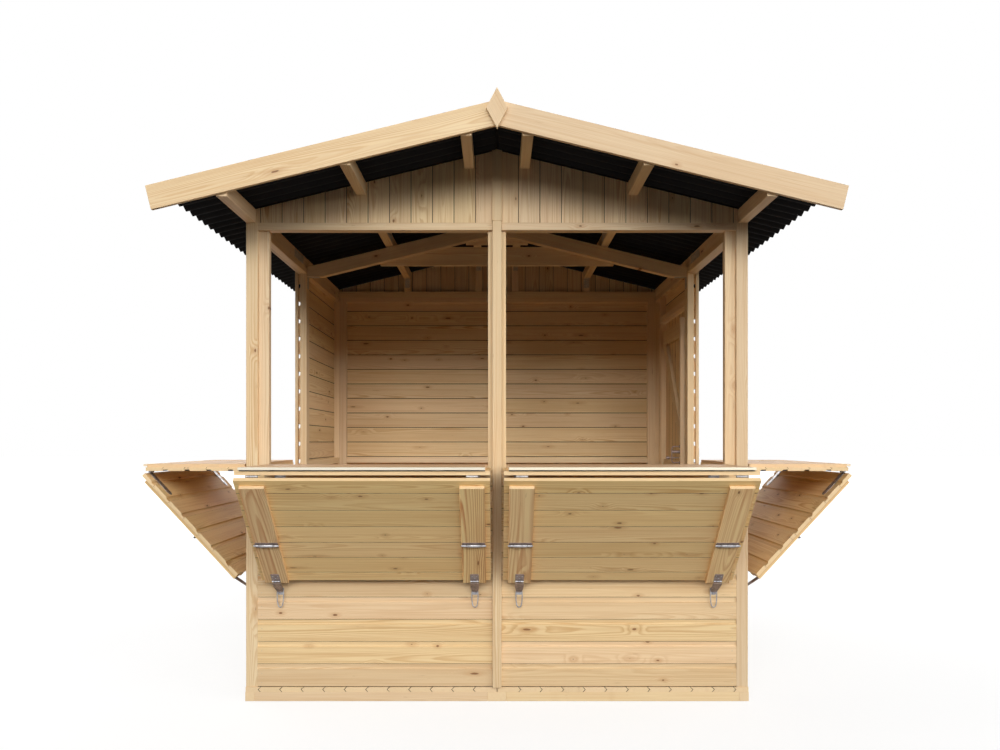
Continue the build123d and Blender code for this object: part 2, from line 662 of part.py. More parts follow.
for name, centre, outward, opening in HATCHES:
    section = wall_section(centre, outward)
    flap_plane = flap_section(centre, outward)
    under = HINGE_Z + KNUCKLE_RADIUS
    reach = FOLD_OUT - LEAF_EDGE_GAP
    hang = HINGE_OUT + LEAF_EDGE_GAP
    tab = KNUCKLE_RADIUS + KNUCKLE_GAP

    with BuildPart() as counter:
        slab(section, hang, reach, under, under + LEAF, leaf_width(opening))
        board = under + LEAF
        slab(section, hang, reach, board, board + COUNTER_TOP,
             opening - 2 * COUNTER_TOP_SIDE_GAP)
        slab(section, reach, reach + NOSE, board + NOSE_RELIEF, board + COUNTER_TOP,
             opening - 2 * COUNTER_TOP_SIDE_GAP)
    save(counter, f"{name}_counter")

    with BuildPart() as flap:
        slab(flap_plane, LEAF_EDGE_GAP, FLAP_END, KNUCKLE_RADIUS, FLAP_FACE, leaf_width(opening))
        for place in strap_offsets(opening):
            slab(flap_plane.offset(place), LEAF_EDGE_GAP + FLAP_BATTEN_START, FLAP_END,
                 FLAP_FACE, BATTEN_FACE, FLAP_BATTEN)
    save(flap, f"{name}_flap")

    with BuildPart() as counter_irons:
        for place in strap_offsets(opening):
            line = section.offset(place)
            slab(line, HINGE_OUT, HINGE_OUT + tab, under - STRAP, under, TURNING_KNUCKLE)
            slab(line, HINGE_OUT + tab, HINGE_OUT + SILL_STRAP_LENGTH, under - STRAP, under,
                 STRAP_WIDTH)
            middle_knuckle(line, HINGE_OUT, HINGE_Z)
            slab(line, FOLD_OUT - FOLD_LEAF_LENGTH, FOLD_OUT - tab, under - STRAP, under,
                 KNUCKLE_LENGTH)
            for way in (-1, 1):
                slab(line.offset(way * END_KNUCKLE_AT), FOLD_OUT - tab, FOLD_OUT,
                     under - STRAP, under, END_KNUCKLE)
            outer_knuckles(line, FOLD_OUT, HINGE_Z)
    save(counter_irons, f"{name}_counter_irons")

    with BuildPart() as flap_irons:
        for place in strap_offsets(opening):
            line = flap_plane.offset(place)
            face = KNUCKLE_RADIUS
            slab(line, 0, tab, face - STRAP, face, TURNING_KNUCKLE)
            slab(line, tab, FLAP_STRAP_LENGTH, face - STRAP, face, STRAP_WIDTH)
            middle_knuckle(line, 0, 0)
            barrel_at = LEAF_EDGE_GAP + FOLD_BARREL_AT
            roll(line, barrel_at, BATTEN_FACE + BARREL_RADIUS, BARREL_RADIUS, FLAP_BATTEN)
            slab(line, HASP_AT - HASP_PLATE_LENGTH, HASP_AT, BATTEN_FACE, BATTEN_FACE + STRAP,
                 HASP_WIDTH)
            roll(line, HASP_AT, BATTEN_FACE + HASP_RADIUS, HASP_RADIUS, HASP_WIDTH)
    save(flap_irons, f"{name}_flap_irons")

# ---- what stays on the walls: fixed hinge halves, hasp tongues, staples and their rings -------
with BuildPart() as fixed_hinges:
    face = HINGE_OUT - KNUCKLE_RADIUS
    for name, centre, outward, opening in HATCHES:
        for place in strap_offsets(opening):
            line = wall_section(centre, outward).offset(place)
            plate_top = HINGE_Z - KNUCKLE_RADIUS - KNUCKLE_GAP
            slab(line, face, face + STRAP, HINGE_Z - FIXED_LEAF, plate_top, KNUCKLE_LENGTH)
            for way in (-1, 1):
                slab(line.offset(way * END_KNUCKLE_AT), face, face + STRAP, plate_top, HINGE_Z,
                     END_KNUCKLE)
            outer_knuckles(line, HINGE_OUT, HINGE_Z)
save(fixed_hinges, "fixed_hinges")


def hasp_points():
    """Tongue of the hasp, in the wall's section: its upper end at the flap, its end at the wall."""
    down = Vector(math.cos(FOLD_ANGLE), math.sin(FOLD_ANGLE))
    away = Vector(-down.Y, down.X)
    knuckle = Vector(FOLD_OUT, HINGE_Z) + down * HASP_AT + away * (BATTEN_FACE + HASP_RADIUS)
    batten_end = Vector(FOLD_OUT, HINGE_Z) + down * FLAP_END + away * BATTEN_FACE
    run = (batten_end - knuckle).normalized()
    side = Vector(-run.Y, run.X)
    start = knuckle + side * (HASP_RADIUS + TONGUE) + run * (HASP_RADIUS + TONGUE_GAP)
    length = (start.X - TONGUE_REACH) / -run.X
    return start, start + run * length


with BuildPart() as hasps:
    start, finish = hasp_points()
    run = (finish - start).normalized()
    for name, centre, outward, opening in HATCHES:
        for place in strap_offsets(opening):
            line = wall_section(centre, outward).offset(place)
            along = line.from_local_coords(start + run) - line.from_local_coords(start)
            tongue_plane = Plane(origin=line.from_local_coords(start), x_dir=along,
                                 z_dir=line.z_dir)
            slab(tongue_plane, 0, (finish - start).length, -TONGUE / 2, TONGUE / 2, HASP_WIDTH)
            slab(line, 0, STRAP, finish.Y - STAPLE_PLATE / 2, finish.Y + STAPLE_PLATE / 2,
                 HASP_WIDTH)
            slab(line, STRAP, finish.X + STAPLE_BAR, finish.Y - STAPLE_BAR / 2,
                 finish.Y + STAPLE_BAR / 2, STAPLE_BAR)
            hook = line.from_local_coords(Vector(finish.X, finish.Y - RING_LENGTH / 2 + RING_HANG))
            with BuildSketch(Plane(origin=hook, x_dir=line.z_dir, z_dir=line.x_dir)) as ring:
                Rectangle(RING_WIDTH, RING_LENGTH)
                chamfer(ring.vertices(), RING_BEND)
                offset(amount=-2 * RING_WIRE, kind=Kind.INTERSECTION, mode=Mode.SUBTRACT)
            extrude(amount=RING_WIRE, both=True)
save(hasps, "hasps")

# ==== door: boards on a closing stile, three ledges and two braces, hung at its rear edge ======
LEAF_Y = (DOORWAY[0] + DOOR_GAP, DOORWAY[0] + DOOR_GAP + DOOR_WIDTH)
STILE_Y = (LEAF_Y[0] + CLOSING_STILE_INSET, LEAF_Y[0] + CLOSING_STILE_INSET + CLOSING_STILE)
STILE_X = SIDE_X - BOARD - CLOSING_STILE_DEPTH
LEDGE_Y = (STILE_Y[1] + JOINT, LEAF_Y[1] - LEDGE_INSET)
LEDGE_X = SIDE_X - BOARD - LEDGE_BOARD
LOW_LEDGE = DOOR_Z + LEDGE_END + LEDGE_DEPTH / 2
HIGH_LEDGE = DOOR_TOP - LEDGE_END - LEDGE_DEPTH / 2
LEDGE_LEVELS = (LOW_LEDGE, (LOW_LEDGE + HIGH_LEDGE) / 2, HIGH_LEDGE)
DOOR_PIN = (DOOR_KNUCKLE_RADIUS + DOOR_KNUCKLE_PLAY, DOORWAY[1] - DOOR_GAP / 2)

with BuildPart() as door_leaf:
    side_panel(1, 0, BOARD, LEAF_Y[0], LEAF_Y[1], DOOR_Z, DOOR_TOP)
save(door_leaf, "door_leaf")

with BuildPart() as door_ledges:
    half = LEDGE_DEPTH / 2
    timber((STILE_X, STILE_Y[0], LOW_LEDGE - half), (SIDE_X - BOARD, STILE_Y[1], HIGH_LEDGE + half))
    for level in LEDGE_LEVELS:
        timber((LEDGE_X, LEDGE_Y[0], level - half), (SIDE_X - BOARD, LEDGE_Y[1], level + half))
    for low, high in zip(LEDGE_LEVELS, LEDGE_LEVELS[1:]):
        z0, z1 = low + half + JOINT, high - half - JOINT
        with BuildSketch(Plane.YZ.offset(LEDGE_X + LEDGE_BOARD / 2)):
            with BuildLine():
                Polyline((LEDGE_Y[0], z0), (LEDGE_Y[0] + LEDGE_DEPTH, z0),
                         (LEDGE_Y[1], z1), (LEDGE_Y[1] - LEDGE_DEPTH, z1), close=True)
            make_face()
        extrude(amount=LEDGE_BOARD / 2, both=True)
save(door_ledges, "door_ledges")

with BuildPart() as door_handles:
    grip = FLOOR_Z + HANDLE_HEIGHT
    post_y = (STILE_Y[0] + STILE_Y[1]) / 2
    for face, way in ((SIDE_X, 1), (STILE_X, -1)):
        out = face + way * HANDLE_REACH
        with BuildLine() as bow:
            FilletPolyline((face, post_y, grip - HANDLE_SPAN / 2),
                           (out, post_y, grip - HANDLE_SPAN / 2),
                           (out, post_y, grip + HANDLE_SPAN / 2),
                           (face, post_y, grip + HANDLE_SPAN / 2), radius=HANDLE_BEND)
        with BuildSketch(Plane(origin=bow.line @ 0, z_dir=bow.line % 0)):
            RegularPolygon(HANDLE_ROD, HANDLE_SIDES)
        sweep(path=bow.line)
save(door_handles, "door_handles")


def door_hinge_plane(level):
    """Section across a door hinge: x outward from the wall, y towards the rear."""
    return Plane(origin=(SIDE_X, 0, level), x_dir=(1, 0, 0), z_dir=(0, 0, 1))


with BuildPart() as door_straps:
    for level in (LOW_LEDGE, HIGH_LEDGE):
        line = door_hinge_plane(level)
        strap_end = DOOR_PIN[1] - DOOR_KNUCKLE_RADIUS - KNUCKLE_GAP
        slab(line, 0, STRAP, DOOR_PIN[1] - DOOR_STRAP_LENGTH, strap_end, STRAP_WIDTH)
        slab(line, 0, STRAP, strap_end, DOOR_PIN[1], TURNING_KNUCKLE)
        rod(line, *DOOR_PIN, DOOR_KNUCKLE_RADIUS, TURNING_KNUCKLE)
        rod(line, *DOOR_PIN, PIN_RADIUS + PIN_PLAY, TURNING_KNUCKLE, Mode.SUBTRACT)
save(door_straps, "door_straps")

with BuildPart() as door_hinge_plates:
    for level in (LOW_LEDGE, HIGH_LEDGE):
        line = door_hinge_plane(level)
        plate_y = DOOR_PIN[1] + DOOR_KNUCKLE_RADIUS + KNUCKLE_GAP
        slab(line, 0, STRAP, plate_y, plate_y + FIXED_LEAF, KNUCKLE_LENGTH)
        for way in (-1, 1):
            lift = line.offset(way * END_KNUCKLE_AT)
            slab(lift, 0, STRAP, DOOR_PIN[1], plate_y, END_KNUCKLE)
            rod(lift, *DOOR_PIN, DOOR_KNUCKLE_RADIUS, END_KNUCKLE)
        rod(line, *DOOR_PIN, PIN_RADIUS, KNUCKLE_LENGTH)
save(door_hinge_plates, "door_hinge_plates")
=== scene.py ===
"""Looks of a wooden market stall: pine boards, timbers, bitumen roof sheets and ironmongery.

Metres, +Z up, the serving front faces -Y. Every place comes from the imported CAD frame.
"""

import json
import math
import random

import bmesh
import bpy
from mathutils import Matrix, Vector


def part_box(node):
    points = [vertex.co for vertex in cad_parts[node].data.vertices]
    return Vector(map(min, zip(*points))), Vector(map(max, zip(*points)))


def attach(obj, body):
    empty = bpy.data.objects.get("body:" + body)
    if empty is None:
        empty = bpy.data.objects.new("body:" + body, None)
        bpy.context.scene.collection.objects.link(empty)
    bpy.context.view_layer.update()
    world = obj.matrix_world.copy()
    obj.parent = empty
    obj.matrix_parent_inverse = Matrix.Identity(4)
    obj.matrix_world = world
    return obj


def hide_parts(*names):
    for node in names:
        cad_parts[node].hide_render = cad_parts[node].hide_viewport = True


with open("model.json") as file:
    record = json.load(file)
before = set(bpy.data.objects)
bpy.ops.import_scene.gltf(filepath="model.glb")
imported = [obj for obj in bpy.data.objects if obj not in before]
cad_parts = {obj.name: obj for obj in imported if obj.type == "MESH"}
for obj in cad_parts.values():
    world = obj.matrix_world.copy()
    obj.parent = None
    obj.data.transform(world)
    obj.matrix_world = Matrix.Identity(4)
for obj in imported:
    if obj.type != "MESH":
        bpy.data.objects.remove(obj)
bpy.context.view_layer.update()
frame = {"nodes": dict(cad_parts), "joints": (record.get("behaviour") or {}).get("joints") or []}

X, Y, Z = Vector((1, 0, 0)), Vector((0, 1, 0)), Vector((0, 0, 1))
MM = 0.001

# ---- sizes of what is drawn here ------------------------------------------------------------
WALL_SEAM = 65.3 * MM          # a joint of the wall boards above the ground, were they to go on
WALL_PITCH = 96 * MM
FLOOR_PITCH = 93 * MM
GABLE_PITCH = 93 * MM
DOOR_PITCH = 98 * MM
SEAM = 0.3 * MM                # half the hairline between two boards of a counter
CHANNEL_WIDTH = 22 * MM        # of the shadow channel under a wall board's foot
CHANNEL = 6 * MM               # its depth
SIDE_CHANNEL = 8.5 * MM        # gap under the lowest board of a wall, with a dark fillet in it as a painted shadow line
FOOT = 2.6 * MM                # dark line under the lowest board of a wall
EASE = 1.2 * MM                # eased edges of planed timber
METAL_EASE = 0.3 * MM


# ==== materials ==============================================================================
def colour(red, green, blue):
    """A screen colour as linear light."""
    parts = [value / 255 for value in (red, green, blue)]
    return (*[p / 12.92 if p <= 0.04045 else ((p + 0.055) / 1.055) ** 2.4 for p in parts], 1)


class Paint:
    """A node material put together by short calls."""

    def __init__(self, name):
        self.material = bpy.data.materials.new(name)
        self.material.use_nodes = True
        self.tree = self.material.node_tree
        self.tree.nodes.clear()

    @classmethod
    def of(cls, tree):
        """The same calls on a world's nodes."""
        paint = cls.__new__(cls)
        paint.tree = tree
        tree.nodes.clear()
        return paint

    def node(self, kind, inputs=None, **settings):
        made = self.tree.nodes.new("ShaderNode" + kind)
        for key, value in settings.items():
            setattr(made, key, value)
        for key, value in (inputs or {}).items():
            if isinstance(value, bpy.types.NodeSocket):
                self.tree.links.new(value, made.inputs[key])
            else:
                made.inputs[key].default_value = value
        return made

    def math(self, operation, first, second=0.0):
        return self.node("Math", {0: first, 1: second}, operation=operation).outputs[0]

    def times(self, first, second):
        return self.math("MULTIPLY", first, second)

    def plus(self, first, second):
        return self.math("ADD", first, second)

    def vector(self, operation, first, second=(0, 0, 0)):
        made = self.node("VectorMath", {0: first, 1: second}, operation=operation)
        return made.outputs["Value" if operation == "LENGTH" else "Vector"]

    def noise(self, place, scale, detail, rough):
        """Noise of one scale, or of a scale along each axis."""
        if isinstance(scale, tuple):
            place, scale = self.vector("MULTIPLY", place, scale), 1.0
        made = self.node("TexNoise", {"Vector": place, "Scale": scale, "Detail": detail,
                                      "Roughness": rough})
        return made.outputs["Fac"]

    def range(self, value, low, high, to_low=0.0, to_high=1.0, smooth=False):
        made = self.node("MapRange", {"Value": value, "From Min": low, "From Max": high,
                                      "To Min": to_low, "To Max": to_high})
        made.interpolation_type = "SMOOTHSTEP" if smooth else "LINEAR"
        return made.outputs["Result"]

    def ramp(self, value, *stops):
        made = self.node("ValToRGB", {"Fac": value})
        points = made.color_ramp.elements
        while len(points) < len(stops):
            points.new(0.5)
        for point, (at, shade) in zip(points, stops):
            point.position = at
            point.color = shade
        return made.outputs["Color"]

    def mix(self, share, first, second, blend="MIX"):
        made = self.node("Mix", {0: share, 6: first, 7: second}, data_type="RGBA",
                         blend_type=blend)
        return made.outputs[2]

    def finish(self, base, rough, height, strength, distance, metal=0.0, specular=0.5):
        lift = self.node("Bump", {"Height": height, "Strength": strength, "Distance": distance})
        shader = self.node("BsdfPrincipled", {
            "Base Color": base, "Roughness": rough, "Metallic": metal,
            "Specular IOR Level": specular, "Normal": lift.outputs["Normal"]})
        self.node("OutputMaterial", {0: shader.outputs[0]})
        return self.material


RESIN, STAIN = colour(150, 96, 50), colour(184, 126, 74)     # streaks, and the rim of a knot
PLANED_AND_HIGHLIGHT, JOINT_DIRT_AND_SHADE = colour(240, 212, 170), colour(58, 36, 18)    # cut ends, pale with a painted highlight; and painted shade with dirt inside a joint
KNOT_CELL = (240 * MM, 75 * MM)    # one knot in each at most, along and across the wood
KNOT_SIZE = (2.8 * MM, 7.2 * MM)
KNOT = ((0.15, colour(116, 68, 36)), (0.6, colour(84, 50, 26)), (0.9, colour(58, 34, 18)))


def wood(name, early, late, knots, figure, ring_width=3.4 * MM, bow=0.09):
    """Sawn pine: rings round a wandering heart, fibres, resin streaks and knots.

    The grain attribute runs along the wood in x, and the heart of the log is at y = z = 0.
    """
    paint = Paint(name)
    grain = paint.node("Attribute", attribute_name="grain").outputs["Vector"]
    board, cut, joint_dirt_and_shade = (paint.node("Attribute", attribute_name=kind).outputs["Fac"]
                        for kind in ("board", "cut", "joint_dirt_and_shade"))
    chance = paint.node("TexWhiteNoise", {"W": board}, noise_dimensions="1D").outputs["Color"]
    one, two, three = paint.node("SeparateColor", {"Color": chance}).outputs

    # knots: one cell of a stretched grid each, kept in some cells only, drawn out along the wood
    cell = Vector((*KNOT_CELL, 1))
    grid = paint.vector("MULTIPLY", grain, (1 / cell.x, 1 / cell.y, 0))
    spots = paint.node("TexVoronoi", {"Vector": grid, "Scale": 1.0, "Randomness": 0.9},
                       voronoi_dimensions="2D")
    lot, kept, slant = paint.node("SeparateColor", {"Color": spots.outputs["Color"]}).outputs
    away = paint.vector("SUBTRACT", grid, spots.outputs["Position"])
    drawn_out = paint.range(slant, 0.0, 1.0, 0.16, 0.62)
    reach_x, reach_y, _ = paint.node("SeparateXYZ", {0: away}).outputs
    reach_x = paint.times(paint.times(reach_x, cell.x), drawn_out)
    reach_y = paint.times(reach_y, cell.y)
    ragged = paint.noise(grain, (60, 240, 240), 2.0, 0.6)
    reach = paint.vector("LENGTH", paint.node("CombineXYZ", {0: reach_x, 1: reach_y}).outputs[0])
    reach = paint.plus(reach, paint.times(ragged, 4 * MM))
    size = paint.range(lot, 0.0, 1.0, *KNOT_SIZE)
    there = paint.math("LESS_THAN", kept, knots)
    rim = paint.math("DIVIDE", reach, size)
    inside = paint.times(there, paint.range(rim, 0.7, 1.1, 1.0, 0.0, True))
    swirl = paint.range(reach, 0.0, 35 * MM, 1.0, 0.0, True)
    swirl = paint.times(swirl, paint.times(there, 7 * MM))

    # rings of late wood round the heart, bent aside by the knots
    wander = paint.node("TexNoise", {"Vector": paint.vector("MULTIPLY", grain, (0.55, 1, 1)),
                                     "Scale": 1.0, "Detail": 1.0})
    heart_line = paint.vector("SUBTRACT", wander.outputs["Color"], (0.5, 0.5, 0.5))
    heart_line = paint.vector("MULTIPLY", heart_line, (0, bow, bow))
    across = paint.vector("MULTIPLY", grain, (0, 1, 1))
    radius = paint.vector("LENGTH", paint.vector("ADD", across, heart_line))
    wobble = paint.noise(grain, (5.5, 60, 60), 3.0, 0.6)
    radius = paint.plus(radius, paint.times(wobble, 2.2 * MM))
    radius = paint.plus(radius, swirl)
    ring = paint.math("FRACT", paint.times(radius, 1 / ring_width))
    late_wood = paint.range(ring, 0.30, 0.84, 0.0, 1.0, True)
    late_wood = paint.times(late_wood, paint.range(ring, 0.88, 1.0, 1.0, 0.0))
    strong = paint.noise(grain, (0.8, 14, 14), 2.0, 0.5)
    late_wood = paint.times(late_wood, paint.range(strong, 0.3, 0.7, 0.3, 1.0))
    depth = paint.range(paint.math("POWER", two, 2.0), 0.0, 1.0, 0.55, 1.5)
    late_wood = paint.times(late_wood, paint.times(depth, figure))

    # fibres, streaks and the tone of each board
    fibres = paint.noise(grain, (9, 620, 620), 3.0, 0.6)
    streaks = paint.noise(grain, (1.1, 95, 95), 4.0, 0.62)
    clouds = paint.noise(grain, (1.5, 10, 10), 2.0, 0.5)
    resin = paint.noise(grain, (11, 230, 230), 3.0, 0.55)
    resin = paint.range(resin, 0.69, 0.77, 0.0, 1.0, True)

    shade = paint.mix(late_wood, early, late)
    shade = paint.mix(paint.range(streaks, 0.48, 0.78, 0.0, 0.55), shade, late)
    shade = paint.mix(paint.range(clouds, 0.5, 0.8, 0.0, 0.28), shade, late)
    shade = paint.mix(paint.times(resin, 0.5), shade, RESIN)
    tone = paint.plus(paint.range(one, 0, 1, 0.90, 1.04),
                      paint.range(fibres, 0.3, 0.7, -0.035, 0.035))
    shade = paint.mix(1.0, shade, paint.node("CombineColor", {
        "Red": tone, "Green": paint.times(tone, paint.range(two, 0, 1, 0.975, 1.01)),
        "Blue": paint.times(tone, paint.range(three, 0, 1, 0.93, 1.04))}).outputs[0],
        "MULTIPLY")
    knot = paint.ramp(paint.times(rim, 0.9), *KNOT)
    shade = paint.mix(paint.times(inside, 0.88), shade, knot)
    stain = paint.times(paint.range(reach, 6 * MM, 20 * MM, 0.3, 0.0, True), there)
    shade = paint.mix(stain, shade, STAIN)
    # end grain and exposed edges painted pale, partly as planed wood and partly as a painted
    # highlight; then joint sides painted dark with shade and dirt
    shade = paint.mix(paint.times(cut, 0.65), shade, PLANED_AND_HIGHLIGHT)
    shade = paint.mix(paint.times(joint_dirt_and_shade, 0.9), shade, JOINT_DIRT_AND_SHADE)

    rough = paint.range(fibres, 0.2, 0.8, 0.5, 0.68)
    height = paint.plus(paint.times(fibres, 0.5), paint.times(late_wood, 0.5))
    return paint.finish(shade, rough, height, 0.22, 0.4 * MM, specular=0.3)


def metal(name, bright, dull, low, high, flakes, strength, share_metal):
    """Zinc coated or painted steel, with spangle, handling marks and a dull bloom."""
    paint = Paint(name)
    place = paint.node("TexCoord").outputs["Object"]
    crystals = paint.node("TexVoronoi", {"Vector": place, "Scale": flakes})
    tint = paint.node("SeparateColor", {"Color": crystals.outputs["Color"]}).outputs[0]
    bloom = paint.noise(place, 60.0, 4.0, 0.6)
    marks = paint.noise(place, (900, 120, 300), 3.0, 0.6)
    share = paint.plus(paint.times(tint, 0.35), paint.range(bloom, 0.35, 0.7, 0.0, 0.65))
    base = paint.mix(share, bright, dull)
    rough = paint.plus(paint.range(bloom, 0.3, 0.7, low, high),
                       paint.range(tint, 0, 1, -0.04, 0.04))
    height = paint.plus(bloom, paint.times(marks, 0.3))
    return paint.finish(base, rough, height, strength, 0.3 * MM, metal=share_metal)


def bitumen():
    """Bitumen-soaked fibre sheet: near black, matt, with pressed fibres and faint dust."""
    paint = Paint("bitumen")
    place = paint.node("TexCoord").outputs["Object"]
    fibres = paint.noise(place, (420, 900, 420), 5.0, 0.7)
    pits = paint.noise(place, 1600.0, 2.0, 0.6)
    dust = paint.noise(place, 7.0, 5.0, 0.65)
    base = paint.mix(paint.range(dust, 0.45, 0.75, 0.0, 1.0), colour(13, 12, 13),
                     colour(27, 26, 26))
    base = paint.mix(paint.range(fibres, 0.5, 0.72, 0.0, 0.5), base, colour(36, 35, 34))
    rough = paint.range(pits, 0.3, 0.7, 0.72, 0.94)
    height = paint.plus(fibres, paint.times(pits, 0.6))
    return paint.finish(base, rough, height, 0.5, 0.6 * MM, specular=0.15)


BOARDS = wood("pine_boards", colour(237, 208, 162), colour(200, 152, 98), 0.34, 0.62)
HATCH_BOARDS = wood("hatch_boards", colour(250, 217, 158), colour(208, 154, 92), 0.45, 0.62)
GABLE_BOARDS = wood("gable_boards", colour(237, 211, 168), colour(184, 124, 68), 0.16, 0.6)
TIMBER = wood("planed_timber", colour(237, 211, 170), colour(209, 165, 114), 0.14, 0.55)
HATCH_TIMBER = wood("hatch_battens", colour(250, 217, 160), colour(192, 112, 58), 0.3, 0.62,
                    5.6 * MM, 0.15)
COUNTER = wood("counter_boards", colour(222, 183, 142), colour(188, 144, 103), 0.2, 0.6)
# the lipping's near-white colour is pale wood with the highlight on the counter's nose painted in
PALE_LIPPING_HIGHLIGHT = wood("pale_lipping_highlight", colour(255, 249, 232), colour(240, 222, 192), 0.0, 0.5)
ZINC = metal("galvanised_steel", colour(186, 185, 188), colour(120, 119, 123), 0.3, 0.5, 260,
             0.15, 0.85)
PLATES = metal("dull_zinc", colour(206, 194, 172), colour(164, 152, 130), 0.5, 0.7, 200, 0.15, 0.1)
DARK = metal("black_steel", colour(166, 148, 141), colour(108, 95, 90), 0.38, 0.6, 400, 0.2, 0.45)
SHEETING = bitumen()


# ==== meshes =================================================================================
def place(origin, x_dir, z_dir):
    """A local frame: x and z as given, y = z cross x."""
    x_dir, z_dir = Vector(x_dir).normalized(), Vector(z_dir).normalized()
    y_dir = z_dir.cross(x_dir)
    return Matrix.Translation(Vector(origin)) @ Matrix((x_dir, y_dir, z_dir)).transposed().to_4x4()


WORLD = Matrix.Identity(4)
TURN_BACK = Matrix.Rotation(math.pi / 2, 4, "X")      # lays z along -y, and y along z
TURN_OUT = Matrix.Rotation(-math.pi / 2, 4, "X")      # lays z along y, and y along -z


def shift(*way):
    return Matrix.Translation(way)


def round_trip(values):
    """Each value with the next, and the last with the first."""
    return zip(values, values[1:] + values[:1])


def turns(sides):
    """The corners of a regular ring, as angles."""
    return [2 * math.pi * (index + 0.5) / sides for index in range(sides)]


def skin(count, size, closed=False):
    """The faces over a row of rings, with a cap at either end unless the row is closed."""
    faces = []
    for row in range(count if closed else count - 1):
        a, b = row * size, (row + 1) % count * size
        for index in range(size):
            step = (index + 1) % size
            faces.append((a + index, a + step, b + step, b + index))
    if not closed:
        faces += [tuple(reversed(range(size))), tuple(range((count - 1) * size, count * size))]
    return faces


def link(name, data):
    made = bpy.data.objects.new(name, data)
    bpy.context.scene.collection.objects.link(made)
    return made


class Stack:
    """Closed solids gathered into one mesh, each with a grain frame and a number of its own."""

    def __init__(self, seed, dark=1.0):
        self.chance = random.Random(seed)
        self.dark = dark           # how dark the painted shade and dirt inside its joints are
        self.points, self.faces = [], []
        self.grain, self.board, self.cut, self.smooth = [], [], [], []
        self.joint_dirt_and_shade = []

    def add(self, points, faces, along=None, smooth=False, shaded_sides=(), pale=()):
        points = [Vector(p) for p in points]
        volume = 0.0
        for face in faces:
            for second, third in zip(face[1:], face[2:]):
                volume += points[face[0]].dot(points[second].cross(points[third]))
        if volume < 0:
            faces = [tuple(reversed(face)) for face in faces]
        along, across = self.axes(points, faces, along)
        through = along.cross(across)
        middle = sum(points, Vector()) / len(points)
        start = Vector((self.chance.uniform(0, 50), self.chance.uniform(-0.05, 0.05),
                        self.chance.uniform(0.018, 0.09) * self.chance.choice((-1, 1))))
        number = self.chance.random() * 97
        first = len(self.points)
        self.points += points
        for p in points:
            away = p - middle
            self.grain.append(
                Vector((away.dot(along), away.dot(across), away.dot(through))) + start)
        for index, face in enumerate(faces):
            corner = points[face[0]]
            normal = (points[face[1]] - corner).cross(points[face[2]] - corner)
            square = normal.length > 0 and abs(normal.normalized().dot(along)) > 0.75
            self.faces.append(tuple(first + spot for spot in face))
            self.board.append(number)
            self.cut.append(1.0 if square or index in pale else 0.0)
            self.smooth.append(smooth)
            self.joint_dirt_and_shade.append(self.dark if index in shaded_sides else 0.0)

    @staticmethod
    def axes(points, faces, along):
        """Grain along the longest edge, and the wider of the two ways across it."""
        edges = []
        for face in faces:
            for a, b in round_trip(face):
                if a < b:
                    edges.append(points[b] - points[a])
        if along is None:
            along = max(edges, key=lambda edge: edge.length_squared)
        along = Vector(along).normalized()

        def extent(direction):
            reach = [p.dot(direction) for p in points]
            return max(reach) - min(reach)

        best = None
        for edge in edges:
            side = edge - along * edge.dot(along)
            if side.length > 0.3 * edge.length and side.length > 1e-5:
                side.normalize()
                width = extent(side)
                if best is None or width > best[0] + 1e-6:
                    best = (width, side)
        return along, best[1] if best else along.orthogonal().normalized()

    def prism(self, frame_at, outline, start, end, along=None, smooth=False, shaded_sides=(), pale=()):
        """An outline in the frame's xy plane, run along its z from start to end.

        The shaded sides are the sides of the outline inside a joint, painted dark with shade and
        dirt, and the pale ones are painted pale as planed wood with a highlight.
        """
        count = len(outline)
        points = [frame_at @ Vector((a, b, c)) for c in (start, end) for a, b in outline]
        faces = [tuple(range(count)), tuple(range(2 * count - 1, count - 1, -1))]
        faces += [(i, (i + 1) % count, count + (i + 1) % count, count + i) for i in range(count)]
        self.add(points, faces, along, smooth, {side + 2 for side in shaded_sides},
                 {side + 2 for side in pale})

    def box(self, frame_at, low, high, along=None, shaded_sides=()):
        outline = [(low[0], low[1]), (high[0], low[1]), (high[0], high[1]), (low[0], high[1])]
        self.prism(frame_at, outline, low[2], high[2], along, shaded_sides=shaded_sides)

    def rod(self, frame_at, centre, radius, start, end, sides=16):
        """A round bar along the frame's z, with eased ends."""
        ease = min(radius * 0.2, (end - start) * 0.2)
        rings = ((start, radius - ease), (start + ease, radius), (end - ease, radius),
                 (end, radius - ease))
        self.turned(frame_at, centre, rings, sides)

    def turned(self, frame_at, centre, rings, sides=16):
        """A solid of revolution about a line along the frame's z: (height, radius) rings."""
        points = [frame_at @ Vector((centre[0] + radius * math.cos(turn),
                                     centre[1] + radius * math.sin(turn), height))
                  for height, radius in rings for turn in turns(sides)]
        self.add(points, skin(len(rings), sides), smooth=True)

    def build(self, name, material, body, *nodes, ease=0.0):
        """The piece: dressed in a material, on a body, in place of the CAD nodes if it has any."""
        mesh = bpy.data.meshes.new(name)
        mesh.from_pydata(self.points, [], self.faces)
        mesh.materials.append(material)
        mesh.attributes.new("grain", "FLOAT_VECTOR", "POINT").data.foreach_set(
            "vector", [value for point in self.grain for value in point])
        for kind, values in (("board", self.board), ("cut", self.cut), ("joint_dirt_and_shade", self.joint_dirt_and_shade)):
            mesh.attributes.new(kind, "FLOAT", "FACE").data.foreach_set("value", values)
        mesh.polygons.foreach_set("use_smooth", self.smooth)
        if any(self.smooth):
            mesh.set_sharp_from_angle(angle=math.radians(40))
        piece = link(name, mesh)
        if ease:
            bevel = piece.modifiers.new("eased_edges", "BEVEL")
            bevel.width = ease
            bevel.segments = 1
            bevel.limit_method = "ANGLE"
            bevel.angle_limit = math.radians(50)
        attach(piece, body)
        if nodes:
            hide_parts(*nodes)


